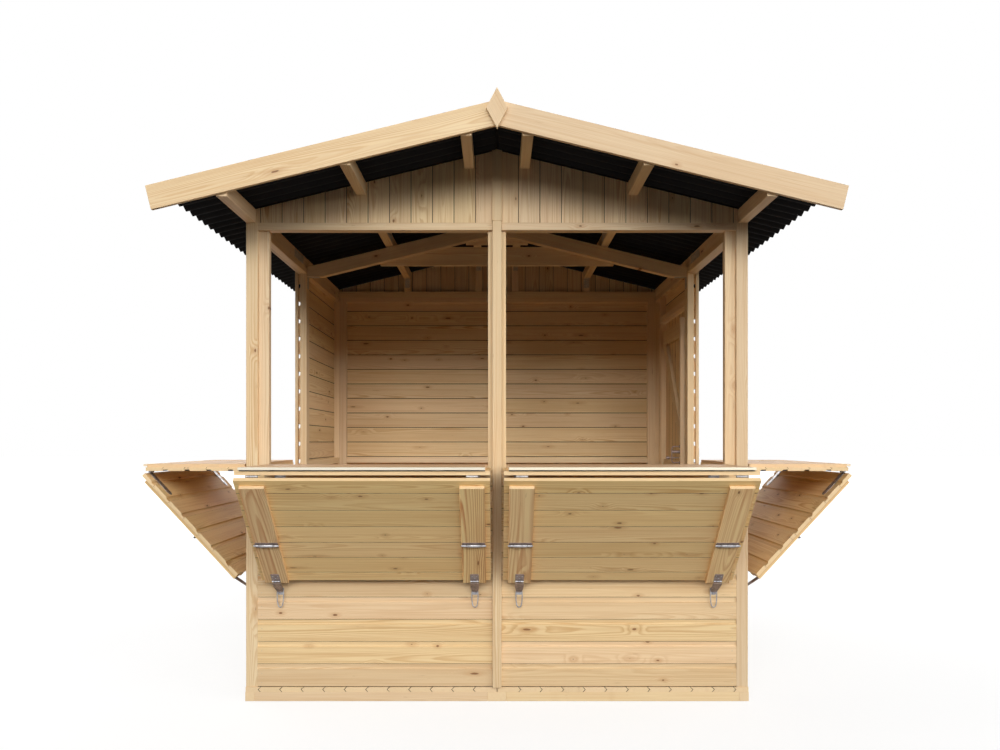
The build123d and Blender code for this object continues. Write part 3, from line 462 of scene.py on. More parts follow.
def solids_of(node):
    """The solids of a CAD node: for each its corners and its flat faces."""
    work = bmesh.new()
    work.from_mesh(frame["nodes"][node].data)
    bmesh.ops.remove_doubles(work, verts=work.verts, dist=1e-5)
    bmesh.ops.dissolve_limit(work, angle_limit=math.radians(1), verts=work.verts,
                             edges=work.edges)
    work.verts.ensure_lookup_table()
    seen, found = set(), []
    for start in work.verts:
        if start in seen:
            continue
        island, waiting = [], [start]
        seen.add(start)
        while waiting:
            corner = waiting.pop()
            island.append(corner)
            for edge in corner.link_edges:
                other = edge.other_vert(corner)
                if other not in seen:
                    seen.add(other)
                    waiting.append(other)
        number = {corner: index for index, corner in enumerate(island)}
        faces = {face for corner in island for face in corner.link_faces}
        faces = sorted(faces, key=lambda face: face.index)
        found.append(([corner.co.copy() for corner in island],
                      [tuple(number[corner] for corner in face.verts) for face in faces]))
    work.free()
    return found


def ends(points):
    """Lowest and highest corner."""
    return (Vector([min(p[axis] for p in points) for axis in range(3)]),
            Vector([max(p[axis] for p in points) for axis in range(3)]))


def timbers(node, seed, body="stall"):
    """A node of planed timbers, each with its own grain and eased edges."""
    stack = Stack(seed)
    for points, faces in solids_of(node):
        low, high = ends(points)
        if node == "cover_battens" and len(points) == 8 and low.y < 0 < high.y \
                and min(abs(low.x), abs(high.x)) > 1.0:
            rebated(stack, low, high)
        else:
            stack.add(points, faces)
    stack.build(node + "_timber", TIMBER, body, node, ease=EASE)


def rebated(stack, low, high):
    """A side wall's cover batten, rebated behind so that the board channels run out under it."""
    side = 1 if low.x > 0 else -1
    inner, outer = sorted((low.x, high.x), key=abs)
    step = inner + side * 8 * MM
    stack.prism(WORLD, [(inner, low.y), (outer, low.y), (outer, high.y), (step, high.y),
                        (step, MM), (inner, MM)], low.z, high.z, Z)


def joints(start, end, first, pitch, least=0.02):
    """Levels from start to end that cut it into boards, all but the end ones a pitch apart."""
    count = math.ceil((start - first) / pitch)
    levels = [start]
    while first + count * pitch < end - least:
        if first + count * pitch > start + least:
            levels.append(first + count * pitch)
        count += 1
    return levels + [end]


def board_section(low, high, thick, channel, depth, gap, first, last):
    """A tongued board, its face at y = 0, and which sides of it lie inside a joint.

    Its high edge is sunk by depth over the width of the channel, and its foot is square, so a
    shadow channel runs under each board's foot. The gap stays open on both sides of the tongue.
    """
    tongue, slot, fine, back = 4.5 * MM, 5 * MM, 0.5 * MM, 1.3 * MM
    left, right = low + gap / 2, high - gap / 2
    start, rise = max(thick * 0.45, depth + 2 * MM), thick * 0.68
    if first:
        outline = [(left, thick), (left, 0)]
    else:
        outline = [(left + back, thick), (left, thick - back), (left, rise),
                   (left + slot, rise - 0.4 * MM), (left + slot, start + 0.4 * MM), (left, start),
                   (left, fine), (left + fine, 0)]
    if last:
        outline += [(right, 0), (right, thick)]
    else:
        if channel:
            outline += [(right - channel, 0), (right - channel + depth * 0.35, depth * 0.65),
                        (right - channel + depth, depth), (right, depth)]
        else:
            outline += [(right - fine, 0), (right, fine)]
        outline += [(right, start + 0.3 * MM), (right + tongue, start + 0.6 * MM),
                    (right + tongue, rise - 0.6 * MM), (right, rise - 0.3 * MM),
                    (right, thick - back), (right - back, thick)]
    shaded_sides = set()
    for index, (a, b) in enumerate(round_trip(outline)):
        on_face = a[1] == b[1] and a[1] in (0, thick)
        if not on_face and (not first and max(a[0], b[0]) <= left + slot + 1e-6 or
                            not last and min(a[0], b[0]) >= right - back - 1e-6):
            shaded_sides.add(index)
    # the exposed edges of the end boards, painted pale with a highlight
    pale = ({0} if first else set()) | ({outline.index((right, 0))} if last else set())
    return outline, shaded_sides, pale


def tongued(stack, frame_at, levels, thick, start, end, depth=CHANNEL, gap=1.8 * MM, foot=0.0):
    """Boards laid edge to edge along the frame's x, their length along its z.

    The lowest board stays a foot's height off what is below it, with a dark fillet behind
    that paints the shadow in that gap.
    """
    turn = frame_at.to_3x3() @ Z
    if foot:
        base = levels[0]
        levels = [base + foot] + levels[1:]
        # the dark fillet in the gap: a painted shadow
        stack.box(frame_at, (base, thick * 0.35, start), (base + foot + MM, thick * 0.9, end),
                  turn, range(4))
    last = len(levels) - 2
    for index, (low, high) in enumerate(zip(levels, levels[1:])):
        wide = CHANNEL_WIDTH if high - low > CHANNEL_WIDTH + 10 * MM else 0
        outline, shaded_sides, pale = board_section(low, high, thick, wide, depth, gap, index == 0,
                                             index == last)
        # the lowest board's foot is painted with shade in place of a pale edge
        if foot and index == 0:
            shaded_sides, pale = shaded_sides | {0}, pale - {0}
        stack.prism(frame_at, outline, start, end, turn, shaded_sides=shaded_sides, pale=pale)


# ==== walls, floor and gables ================================================================
OUT = {"front": -Y, "back": Y, "left": -X, "right": X}


def boarded_wall(node, out, seed, body="stall", upright=False):
    """Horizontal or upright tongued boards in place of each flat panel of a node."""
    stack, nails = Stack(seed), Stack(seed + 500)
    inward = -out
    across = inward.cross(Z) if upright else Z
    for points, _ in solids_of(node):
        low, high = ends(points)
        origin = Vector([(low if inward[axis] > 0 else high)[axis] if abs(inward[axis]) > 0.5
                         else 0.0 for axis in range(3)])
        frame_at = place(origin, across, across.cross(inward))
        near, far = ends([frame_at.inverted() @ p for p in points])
        if upright:
            middle = (near.x + far.x) / 2
            levels = joints(near.x, far.x, middle - DOOR_PITCH / 2, DOOR_PITCH)
        else:
            levels = joints(near.x, far.x, WALL_SEAM, WALL_PITCH)
        tongued(stack, frame_at, levels, far.y, near.z, far.z,
                depth=CHANNEL if abs(out.y) > 0.5 else SIDE_CHANNEL,
                foot=FOOT if "lower_wall" in node or node == "back_wall" else 0.0)
        for a, b in zip(levels, levels[1:]):
            if b - a < 50 * MM:
                continue
            for along in (near.z + 18 * MM, far.z - 18 * MM):
                for part in (0.2, 0.58):
                    spot = frame_at @ shift(a + (b - a) * part, 0, along) @ TURN_BACK
                    nails.turned(spot, (0, 0), ((-0.5 * MM, 1.6 * MM), (0.15 * MM, 1.5 * MM)), 8)
    stack.build(node + "_boards", BOARDS, body, node)
    nails.build(node + "_nails", PLATES, body)


WALLS = (("front_lower_wall", "front"), ("back_wall", "back"), ("left_lower_wall", "left"),
         ("right_lower_wall", "right"), ("left_rear_wall", "left"), ("right_rear_wall", "right"),
         ("over_door_wall", "right"), ("door_jamb_board", "right"))
for number, (node, facing) in enumerate(WALLS):
    boarded_wall(node, OUT[facing], 10 + number)
boarded_wall("door_leaf", X, 19, "door", upright=True)


def laid_floor():
    """Tongued boards laid from the middle out to both sides."""
    stack = Stack(30)
    low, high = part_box("floor_boards")
    frame_at = shift(0, 0, high.z) @ TURN_OUT
    levels, depth = joints(0, high.x, 0, FLOOR_PITCH), high.z - low.z
    tongue, half_gap = 10 * MM, 1.6 * MM
    for side in (-1, 1):
        for start, end in zip(levels, levels[1:]):
            a, b = start + half_gap, end - half_gap
            outline, shaded_sides = [(a, 0), (b, 0), (b, depth), (a, depth)], set()
            if end != levels[-1]:
                outline[2:2] = [(b + tongue, depth / 2)]
                shaded_sides |= {1, 2}
            if start != levels[0]:
                outline.append((a + tongue, depth / 2))
                shaded_sides |= {len(outline) - 2, len(outline) - 1}
            stack.prism(frame_at, [(side * x, y) for x, y in outline], low.y, high.y, Y,
                        shaded_sides=shaded_sides)
    stack.build("floor_boards_laid", BOARDS, "stall", "floor_boards")


laid_floor()


def outline_top(points, faces, x):
    """Highest point of an upright panel across the stall at x."""
    top = -1.0
    for face in faces:
        for a, b in round_trip(face):
            p, q = points[a], points[b]
            if abs(p.x - q.x) < 1e-6 or not min(p.x, q.x) - 1e-7 <= x <= max(p.x, q.x) + 1e-7:
                continue
            top = max(top, p.z + (q.z - p.z) * (x - p.x) / (q.x - p.x))
    return top


def gable_boards(node, facing, seed):
    """Upright boards cut to the slopes and round the purlins."""
    stack = Stack(seed)
    points, faces = solids_of(node)[0]
    low, high = ends(points)
    steps = sorted({round(p.x, 6) for p in points if p.z > low.z + MM})
    face_y, back_y = (low.y, high.y) if facing < 0 else (high.y, low.y)
    count = math.ceil(high.x / GABLE_PITCH)
    cuts = [low.x] + [k * GABLE_PITCH for k in range(1 - count, count)] + [high.x]
    groove, depth, half_gap = 0.8 * MM, 0.8 * MM * (1 if facing < 0 else -1), 1.4 * MM
    for a, b in zip(cuts, cuts[1:]):
        left, right = a + half_gap, b - half_gap
        marks = [left] + [s for s in steps if left + MM < s < right - MM] + [right]
        top = []
        for p, q in zip(marks, marks[1:]):
            inset = min(0.1 * MM, (q - p) / 4)
            top += [(p, outline_top(points, faces, p + inset)),
                    (q, outline_top(points, faces, q - inset))]
        tidy = []
        for spot in top:
            if not tidy or (abs(spot[0] - tidy[-1][0]) + abs(spot[1] - tidy[-1][1])) > 1e-6:
                tidy.append(spot)
        if min(z for _, z in tidy) - low.z < 4 * MM:
            continue
        outline = [(left, low.z), (right, low.z)] + list(reversed(tidy))
        front = [(min(max(x, left + groove), right - groove), z) for x, z in outline]
        rings = [[Vector((x, face_y, z)) for x, z in front],
                 [Vector((x, face_y + depth, z)) for x, z in outline],
                 [Vector((x, back_y, z)) for x, z in outline]]
        size = len(outline)
        corners = [p for ring in rings for p in ring]
        made = [tuple(range(size)), tuple(range(3 * size - 1, 2 * size - 1, -1))]
        shaded_sides = set()
        # the upright sides deep in the joints get painted shade
        for row in (0, size):
            for i in range(size):
                if row and abs(outline[i][0] - outline[(i + 1) % size][0]) < 1e-6:
                    shaded_sides.add(len(made))
                made.append((row + i, row + (i + 1) % size, row + size + (i + 1) % size,
                             row + size + i))
        stack.add(corners, made, Z, shaded_sides=shaded_sides)
        if b < high.x - MM:
            # the tongue that shuts the gap behind its mouth, painted dark all round as the shade
            # in the gap
            inward, half = back_y - face_y, 1.3 * MM
            near, far = sorted((face_y + inward * 0.45, back_y - inward * 0.25))
            top_z = min(outline_top(points, faces, b + way * 4 * MM) for way in (-1, 1))
            stack.box(WORLD, (b - half, near, low.z), (b + half, far, top_z - MM), Z, range(4))
    stack.build(node + "_boards", GABLE_BOARDS, "stall", node)


gable_boards("front_gable", -1, 41)
gable_boards("back_gable", 1, 42)

for number, node in enumerate((
        "base_bearers", "front_frame", "back_frame", "left_frame", "right_front_frame",
        "door_frame", "corner_boards", "lintel_boards", "cover_battens", "sill_battens",
        "gable_rails", "gable_battens", "eaves_beams", "purlins", "truss_rafters", "collar_tie",
        "truss_gusset", "front_bargeboards", "back_bargeboards", "finials")):
    timbers(node, 60 + number)
timbers("door_ledges", 90, "door")

# ==== roof covering ==========================================================================
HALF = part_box("roof_sheet_left")[1].y
WAVES = round(2 * HALF / (76 * MM))
WAVE = 2 * HALF / WAVES
WAVE_POINTS = 14
WAVE_HEIGHT = 25 * MM
SHEET = 3 * MM
ROWS = 6
NAIL_LINES = (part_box("eaves_beams")[1].x - 21 * MM, 0.588)  # over the timbers, off the middle


def slope_of(node, side):
    """Frame of one roof slope: x along the ridge, y up out of the slope, z down the slope."""
    points = [p for solid in solids_of(node) for p in solid[0]]
    ridge = min(points, key=lambda p: (abs(p.x), p.z))
    low_ridge = min((p for p in points if abs(p.x) < abs(ridge.x) + 12 * MM), key=lambda p: p.z)
    down = min(points, key=lambda p: p.z) - low_ridge
    down.y = 0
    length = down.length
    down.normalize()
    up = Vector((-down.z, 0, down.x)) * side
    return place((low_ridge.x, 0, low_ridge.z), up.cross(down), down), length


def wave(y):
    return WAVE_HEIGHT / 2 * (1 - math.cos(2 * math.pi * (y + HALF) / WAVE))


def roof_sheet(node, side, seed):
    """A waved sheet in rows from the ridge down, and capped nails on every second crest."""
    stack, caps = Stack(seed), Stack(seed + 1)
    frame_at, length = slope_of(node, side)
    count = WAVES * WAVE_POINTS
    stations = [-HALF + 2 * HALF * index / count for index in range(count + 1)]
    points = []
    for row in range(ROWS + 1):
        down = length * row / ROWS
        for layer in (0, SHEET):
            points += [frame_at @ Vector((s, wave(s) + layer, down)) for s in stations]
    wide = len(stations)
    faces = []

    def strip(a, b, turned):
        """The faces between two lines of corners."""
        return [(a + i, a + i + 1, b + i + 1, b + i) if turned else
                (a + i, b + i, b + i + 1, a + i + 1) for i in range(wide - 1)]

    for row in range(ROWS):
        a, b = 2 * row * wide, 2 * (row + 1) * wide
        faces += strip(a, b, False) + strip(a + wide, b + wide, True)
        faces += [(a, a + wide, b + wide, b),
                  (a + wide - 1, b + wide - 1, b + 2 * wide - 1, a + 2 * wide - 1)]
    faces += strip(0, wide, True) + strip(b, b + wide, False)
    stack.add(points, faces, smooth=True)
    stack.build(node + "_waves", SHEETING, "stall", node)
    for x in NAIL_LINES:
        down = (x - abs(frame_at.translation.x)) / abs((frame_at.to_3x3() @ Z).x)
        for crest in range(0, WAVES, 2):
            spot = shift(-HALF + (crest + 0.5) * WAVE, WAVE_HEIGHT + SHEET, down)
            caps.turned(frame_at @ spot @ TURN_OUT, (0, 0), (
                (-2 * MM, 11 * MM), (1 * MM, 11 * MM), (4 * MM, 7 * MM), (5 * MM, 3 * MM)), 10)
    caps.build(node + "_nail_caps", SHEETING, "stall")


roof_sheet("roof_sheet_left", -1, 100)
roof_sheet("roof_sheet_right", 1, 102)


def ridge_capping():
    """Three bent pieces with a rounded back, the middle one lapped under both others."""
    stack = Stack(110)
    low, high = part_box("ridge_cap")
    slope = (high.z - low.z - SHEET / 1.03) / high.x
    bend, lap, sunk, parts = 35 * MM, 60 * MM, 1.2 * MM, 3
    profile = []
    for index in range(-10, 11):
        x = high.x * index / 10
        away = max(math.hypot(x, bend) - 0.3 * bend, abs(x))
        profile.append((x, high.z - SHEET - slope * away))
    for part in range(parts):
        start, end = (low.y + (high.y - low.y) * edge / parts for edge in (part, part + 1))
        lift = 0.0
        if part == 1:
            start, end, lift = start - lap, end + lap, -sunk
        outline = [(x, z + lift) for x, z in profile]
        outline += [(x, z + lift + SHEET * 0.9) for x, z in reversed(profile)]
        stack.prism(TURN_BACK, outline, -end, -start, smooth=True)
    stack.build("ridge_capping", SHEETING, "stall", "ridge_cap")


ridge_capping()

# ==== ironmongery ============================================================================
KNUCKLE = 5 * MM               # radius
KNUCKLES = 46 * MM             # length of a hinge's three knuckles
EYE_STEP, EYE = 15.3 * MM, 7.4 * MM  # knuckle to knuckle, and half a plate's tongue at one
PIN = 2.5 * MM
PLATE = 2 * MM
STRAP = 34 * MM
OUTER, MIDDLE = (-1, 1), (0,)  # knuckles, counted from the middle one


def screws(stack, frame_at, z_dir, spots, radius=3.6 * MM):
    """Round heads with a pit in the middle, turned to one of the frame's own directions."""
    turn = frame_at.to_3x3()
    x_dir = turn @ (X if abs(z_dir.z) > 0.9 else Z)
    for spot in spots:
        stack.turned(place(frame_at @ Vector(spot), x_dir, turn @ z_dir), (0, 0), (
            (-0.8 * MM, radius), (0.3 * MM, radius), (0.9 * MM, radius * 0.8),
            (1.1 * MM, radius * 0.45), (0.5 * MM, radius * 0.3)), 12)


def plate(stack, frame_at, low, high, round_tip=False):
    """A flat plate between two corners, its thin way along y and its length along x."""
    (x0, y0, z0), (x1, y1, z1) = low, high
    outline = []
    for x, way in ((x1, 1), (x0, -1)):
        radius, steps = min(4 * MM, (z1 - z0) / 4), 2
        if round_tip and way > 0:
            radius, steps = (z1 - z0) / 2 - 1 * MM, 6
        for z, sign in ((z0, -1), (z1, 1))[::way]:
            for step in range(steps + 1):
                angle = math.pi / 2 * step / steps
                if sign == way:
                    angle = math.pi / 2 - angle
                outline.append((x - way * radius + way * radius * math.sin(angle),
                                z - sign * radius + sign * radius * math.cos(angle)))
    stack.prism(frame_at @ TURN_BACK, outline, -y1, -y0)


def knuckles(stack, frame_at, x, y, outer):
    """A hinge's two outer knuckles with their pin, or the one between them."""
    third = KNUCKLES / 3
    if not outer:
        stack.rod(frame_at, (x, y), KNUCKLE, -third / 2 + 0.2 * MM, third / 2 - 0.2 * MM)
        return
    for way in (-1, 1):
        stack.rod(frame_at, (x, y), KNUCKLE, *sorted((way * third / 2, way * KNUCKLES / 2)))
    stack.turned(frame_at, (x, y), ((-KNUCKLES / 2, PIN * 0.9), (0, PIN),
                                    (KNUCKLES / 2, PIN * 0.9)), 12)


def eyes(stack, frame_at, low, high, ways):
    """The tongues of a hinge's plate at its outer knuckles, or at the middle one."""
    for way in ways:
        stack.box(frame_at, (*low, way * EYE_STEP - EYE), (*high, way * EYE_STEP + EYE))


def tube(stack, frame_at, path, radius, sides, closed=False):
    """A round wire along points of the frame."""
    path = [Vector(p) for p in path]
    count = len(path)
    points, side = [], None
    for index, spot in enumerate(path):
        before = path[index - 1] if index or closed else spot
        after = path[(index + 1) % count] if index < count - 1 or closed else spot
        ahead = (after - before).normalized()
        if side is None:
            side = ahead.orthogonal().normalized()
        side = (side - ahead * side.dot(ahead)).normalized()
        other = ahead.cross(side)
        for turn in range(sides):
            angle = 2 * math.pi * turn / sides
            points.append(frame_at @ (spot + side * radius * math.cos(angle)
                                      + other * radius * math.sin(angle)))
    stack.add(points, skin(count, sides, closed), frame_at.to_3x3() @ X, smooth=True)


def perforated(stack, frame_at, length, width):
    """A nail plate in the frame's xy plane with rows of holes, PLATE thick along z."""
    pitch, hole = 11 * MM, 2.4 * MM
    columns, rows = max(1, round(length / pitch)), max(1, round(width / pitch))
    step_x, step_y = length / columns, width / rows
    sides, square = 8, 2.4     # corners round a hole, and what draws the outer ones to a square

    def edge(value):
        return max(-1, min(1, square * value)) / 2

    ring = turns(sides)
    around = [(step_x * edge(math.cos(turn)), step_y * edge(math.sin(turn))) for turn in ring]
    around += [(hole * math.cos(turn), hole * math.sin(turn)) for turn in ring]
    faces = []
    for turn in range(sides):
        step = (turn + 1) % sides
        faces += [(turn, turn + sides, step + sides, step),
                  (turn + 2 * sides, step + 2 * sides, step + 3 * sides, turn + 3 * sides),
                  (turn, step, step + 2 * sides, turn + 2 * sides),
                  (turn + sides, turn + 3 * sides, step + 3 * sides, step + sides)]
    for column in range(columns):
        for row in range(rows):
            centre = ((column + 0.5) * step_x - length / 2, (row + 0.5) * step_y - width / 2)
            points = [frame_at @ Vector((centre[0] + x, centre[1] + y, level))
                      for level in (0, PLATE) for x, y in around]
            stack.add(points, faces, frame_at.to_3x3() @ X)


def split(values):
    """The thin step and the free leg of a bent sheet, from its levels along one axis."""
    if values[1] - values[0] < 2.5 * MM:
        return values[:2], values[1:]
    return values[-2:], values[:-1]


def nail_plates():
    """Flat brackets, and folded ones with a leg each way from a corner that both share."""
    stack, axes = Stack(200), (X, Y, Z)
    for points, _ in solids_of("roof_brackets"):
        low, high = ends(points)
        size, spot = high - low, (low + high) / 2
        if len(points) == 8:
            long, wide, flat = sorted(range(3), key=lambda axis: -size[axis])
            spot[flat] = low[flat]
            perforated(stack, place(spot, axes[long], axes[flat]), size[long], size[wide])
            continue
        levels = [sorted({round(p[axis], 5) for p in points}) for axis in range(3)]
        legs = [axis for axis in range(3) if len(levels[axis]) > 2]
        fold = 3 - sum(legs)
        for run, off in (legs, legs[::-1]):
            step, leg = split(levels[off])[0], split(levels[run])[1]
            spot[run], spot[off] = (leg[0] + leg[-1]) / 2, step[0]
            perforated(stack, place(spot, axes[run], axes[off]), leg[-1] - leg[0], size[fold])
            low[off], high[off] = step
        stack.box(WORLD, low, high)
    stack.build("nail_plates", PLATES, "stall", "roof_brackets")


nail_plates()

# ==== serving hatches ========================================================================
HATCH_OUT = {"front_left": -Y, "front_right": -Y, "side_left": -X, "side_right": X}
PIN_AT = {joint["name"]: Vector(joint["pos_m"]) for joint in frame["joints"]}
SILL_OUT = 21 * MM             # a sill's pin, off the wall's face
LEAF = 16 * MM
COUNTER_BOARD = 14 * MM
BATTEN = 97 * MM
BATTEN_INSET = 20 * MM
BATTEN_BACK = KNUCKLE + LEAF   # off the flap's pins
BATTEN_FACE = BATTEN_BACK + 16 * MM
FLAP_LENGTH = 604 * MM
FLAP_HANGS = math.radians(180 + 47.2)  # from straight out, round past straight up
EDGE = 2 * MM                  # of leaf and flap, off their pins
LEAF_SEAM, LEAF_PITCH = 89 * MM, 95 * MM
COUNTER_PITCH = 111 * MM
FLAP_SEAM, FLAP_PITCH = 69 * MM, 95.7 * MM
HATCH_GAP = 1.2 * MM
HASP_AT = FLAP_LENGTH - 17 * MM
HASP_WIDTH = 36 * MM


def hatch_frames(name):
    """The hatch's upright section and its flap's, both with z along the wall."""
    out = HATCH_OUT[name]
    run = out.cross(Z)
    low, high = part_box(name + "_counter")
    middle = (low + high) / 2
    sill, fold = (PIN_AT[name + kind] for kind in ("_sill_hinge", "_fold_hinge"))

    def centred(spot, z):
        """A spot of the wall's line, moved to the hatch's middle."""
        return Vector((middle.x, spot.y, z) if abs(out.y) > 0.5 else (spot.x, middle.y, z))

    base = centred(sill, 0)
    down = out * math.cos(FLAP_HANGS) + Z * math.sin(FLAP_HANGS)
    return place(base - out * SILL_OUT, out, run), place(centred(fold, fold.z), down, run), \
        (fold - base).dot(out) + SILL_OUT, sill.z, (high - low).dot(Vector(map(abs, run)))


def dress_hatch(name, seed):
    """Leaf, flap and ironmongery of one hatch."""
    section, flap, fold_out, level, width = hatch_frames(name)
    counter_body, flap_body = name + "_counter_body", name + "_flap_body"
    half, run = width / 2, section.to_3x3() @ Z
    under = level + KNUCKLE
    hang, reach = SILL_OUT + EDGE, fold_out - EDGE

    leaf = Stack(seed)
    cuts = [hang, *(LEAF_SEAM + k * LEAF_PITCH for k in range(4)), reach]
    tongued(leaf, section @ shift(0, under, 0), cuts, LEAF, -half, half, gap=HATCH_GAP)
    leaf.build(name + "_counter_leaf", HATCH_BOARDS, counter_body, name + "_counter")

    top, lipping = Stack(seed + 1), Stack(seed + 6)
    narrow, board = half - 19 * MM, under + LEAF
    head, nose = board + COUNTER_BOARD, reach + 17 * MM
    cuts = [hang, *(hang + 1 * MM + k * COUNTER_PITCH for k in (1, 2, 3)), reach]
    for a, b in zip(cuts, cuts[1:]):
        top.box(section, (a + SEAM, board, -narrow), (b - SEAM, head, narrow), run)
    top.build(name + "_counter_top", COUNTER, counter_body, ease=0.6 * MM)
    foot = board + 3.5 * MM
    lipping.prism(section, [(reach, foot), (nose - 1 * MM, foot), (nose, foot + 1 * MM),
                            (nose, head - 1.5 * MM), (nose - 1.5 * MM, head), (reach, head)],
                  -narrow, narrow, run)
    # a dark strip in the gap, a painted shadow line under it
    lipping.box(section, (reach - 1 * MM, board - 1 * MM, -narrow),
                (reach + 0.6 * MM, foot, narrow), run, range(4))
    lipping.build(name + "_counter_lipping", PALE_LIPPING_HIGHLIGHT, counter_body)

    # its joints get a lighter painted shade
    hanging = Stack(seed + 2, dark=0.7)
    cuts = [EDGE, *(EDGE + FLAP_SEAM + k * FLAP_PITCH for k in range(6)), FLAP_LENGTH]
    tongued(hanging, flap @ shift(0, KNUCKLE, 0), cuts, LEAF, -half, half, gap=HATCH_GAP)
    hanging.build(name + "_flap_leaf", HATCH_BOARDS, flap_body, name + "_flap")

    battens = Stack(seed + 3)
    counter_iron, flap_iron, saddles = Stack(seed + 4), Stack(seed + 5), Stack(seed + 7)
    inset = half - BATTEN_INSET - BATTEN / 2
    for line in (-inset, inset):
        battens.box(flap, (28 * MM, BATTEN_BACK, line - BATTEN / 2),
                    (FLAP_LENGTH, BATTEN_FACE, line + BATTEN / 2), flap.to_3x3() @ X)
        at = section @ shift(0, 0, line)
        fixed_hinge(fixed, at, level)
        leaf_hinges(counter_iron, at, fold_out, under)
        hasp_tongue(latches, rings, at, fold_out, level)
        at = flap @ shift(0, 0, line)
        flap_hinge(flap_iron, at)
        batten_barrel(flap_iron, saddles, at)
        hasp_plate(flap_iron, saddles, at)
    battens.build(name + "_flap_battens", HATCH_TIMBER, flap_body, ease=2 * MM)
    counter_iron.build(name + "_counter_hinges", ZINC, counter_body, name + "_counter_irons",
                       ease=METAL_EASE)
    flap_iron.build(name + "_flap_fittings", ZINC, flap_body, name + "_flap_irons",
                    ease=METAL_EASE)
    saddles.build(name + "_flap_saddles", DARK, flap_body, ease=METAL_EASE)


def fixed_hinge(stack, at, level):
    """The half of a sill hinge that is screwed to the wall."""
    face = SILL_OUT - KNUCKLE
    upright = at @ shift(face, 0, 0) @ Matrix.Rotation(math.pi / 2, 4, "Z")
    plate(stack, upright, (level - 42 * MM, -PLATE, -KNUCKLES / 2),
          (level - 6 * MM, 0, KNUCKLES / 2))
    eyes(stack, at, (face, level - 8 * MM), (face + PLATE, level), OUTER)
    knuckles(stack, at, SILL_OUT, level, True)
    screws(stack, at, X, [(face + PLATE, level - drop * MM, z * MM) for z in (-15, 15)
                          for drop in (16, 32)])


def leaf_hinges(stack, at, fold_out, under):
    """The strap of a sill hinge and the short half of a fold hinge, under a leaf."""
    lower, level = under - PLATE, under - KNUCKLE
    plate(stack, at, (SILL_OUT + 6 * MM, lower, -STRAP / 2),
          (SILL_OUT + 180 * MM, under, STRAP / 2), True)
    eyes(stack, at, (SILL_OUT, lower), (SILL_OUT + 8 * MM, under), MIDDLE)
    knuckles(stack, at, SILL_OUT, level, False)
    plate(stack, at, (fold_out - 45 * MM, lower, -KNUCKLES / 2),
          (fold_out - 6 * MM, under, KNUCKLES / 2))
    eyes(stack, at, (fold_out - 8 * MM, lower), (fold_out, under), OUTER)
    knuckles(stack, at, fold_out, level, True)
    screws(stack, at, -Y, [(SILL_OUT + x * MM, lower, z * MM)
                           for x, z in ((35, -5), (75, -5), (120, 5), (160, 5))])
    screws(stack, at, -Y, [(fold_out - 30 * MM, lower, z * MM) for z in (-15, 15)])


def flap_hinge(stack, at):
    """The strap of a fold hinge on a flap's back."""
    lower = KNUCKLE - PLATE
    plate(stack, at, (6 * MM, lower, -STRAP / 2), (135 * MM, KNUCKLE, STRAP / 2), True)
    eyes(stack, at, (0, lower), (8 * MM, KNUCKLE), MIDDLE)
    knuckles(stack, at, 0, 0, False)
    screws(stack, at, -Y, [(x * MM, lower, z * MM)
                           for x, z in ((28, -6), (55, 6), (85, -6), (115, 0))])


def batten_barrel(stack, saddles, at):
    """A bright barrel across a batten on a dark saddle that paints in the barrel's dark
    reflection:
    a sleeve between two turned ends.
    """
    radius, sleeve = 5.2 * MM, 6.2 * MM
    x, y = EDGE + 350 * MM, BATTEN_FACE + 2 * MM + sleeve
    half, end, broad = BATTEN / 2, 20 * MM, 10.5 * MM
    # the dark saddle: a painted reflection behind the barrel
    plate(saddles, at @ Matrix.Rotation(math.pi / 2, 4, "Y"),
          (-half + 2 * MM, BATTEN_FACE, x - broad),
          (half - 2 * MM, BATTEN_FACE + 2 * MM, x + broad))
    tip = ((0, radius * 0.8), (1.5 * MM, radius * 0.95), (end * 0.6, radius * 0.95),
           (end * 0.9, radius * 0.72), (end + 2 * MM, radius * 0.6), (end + 3 * MM, radius * 0.35))
    long = half - end
    lower = at @ shift(x, y, -long) @ Matrix.Rotation(math.pi, 4, "X")
    stack.turned(lower, (0, 0), tip, 20)
    stack.turned(at, (x, y), ((1 * MM - long, sleeve * 0.85), (2.5 * MM - long, sleeve),
                              (long - 2.5 * MM, sleeve), (long - 1 * MM, sleeve * 0.85)), 20)
    stack.turned(at @ shift(x, y, long), (0, 0), tip, 20)
    stack.rod(at, (x, y), 3 * MM, -half + 1 * MM, half - 1 * MM, 10)


def hasp_plate(stack, dark, at):
    """The hasp's dark plate and bright knuckles on the end of a batten."""
    plate(dark, at, (HASP_AT - 44 * MM, BATTEN_FACE, -HASP_WIDTH / 2),
          (HASP_AT - 1 * MM, BATTEN_FACE + PLATE, HASP_WIDTH / 2))
    third, radius = HASP_WIDTH / 3, 4 * MM
    for middle in (-third, 0, third):
        stack.rod(at, (HASP_AT, BATTEN_FACE + radius), radius, middle - third / 2 + 0.3 * MM,
                  middle + third / 2 - 0.3 * MM, 12)
    screws(stack, at, Y, [(HASP_AT - x * MM, BATTEN_FACE + PLATE, z * MM)
                          for x, z in ((30, -10), (30, 10), (17, 0))], 3 * MM)


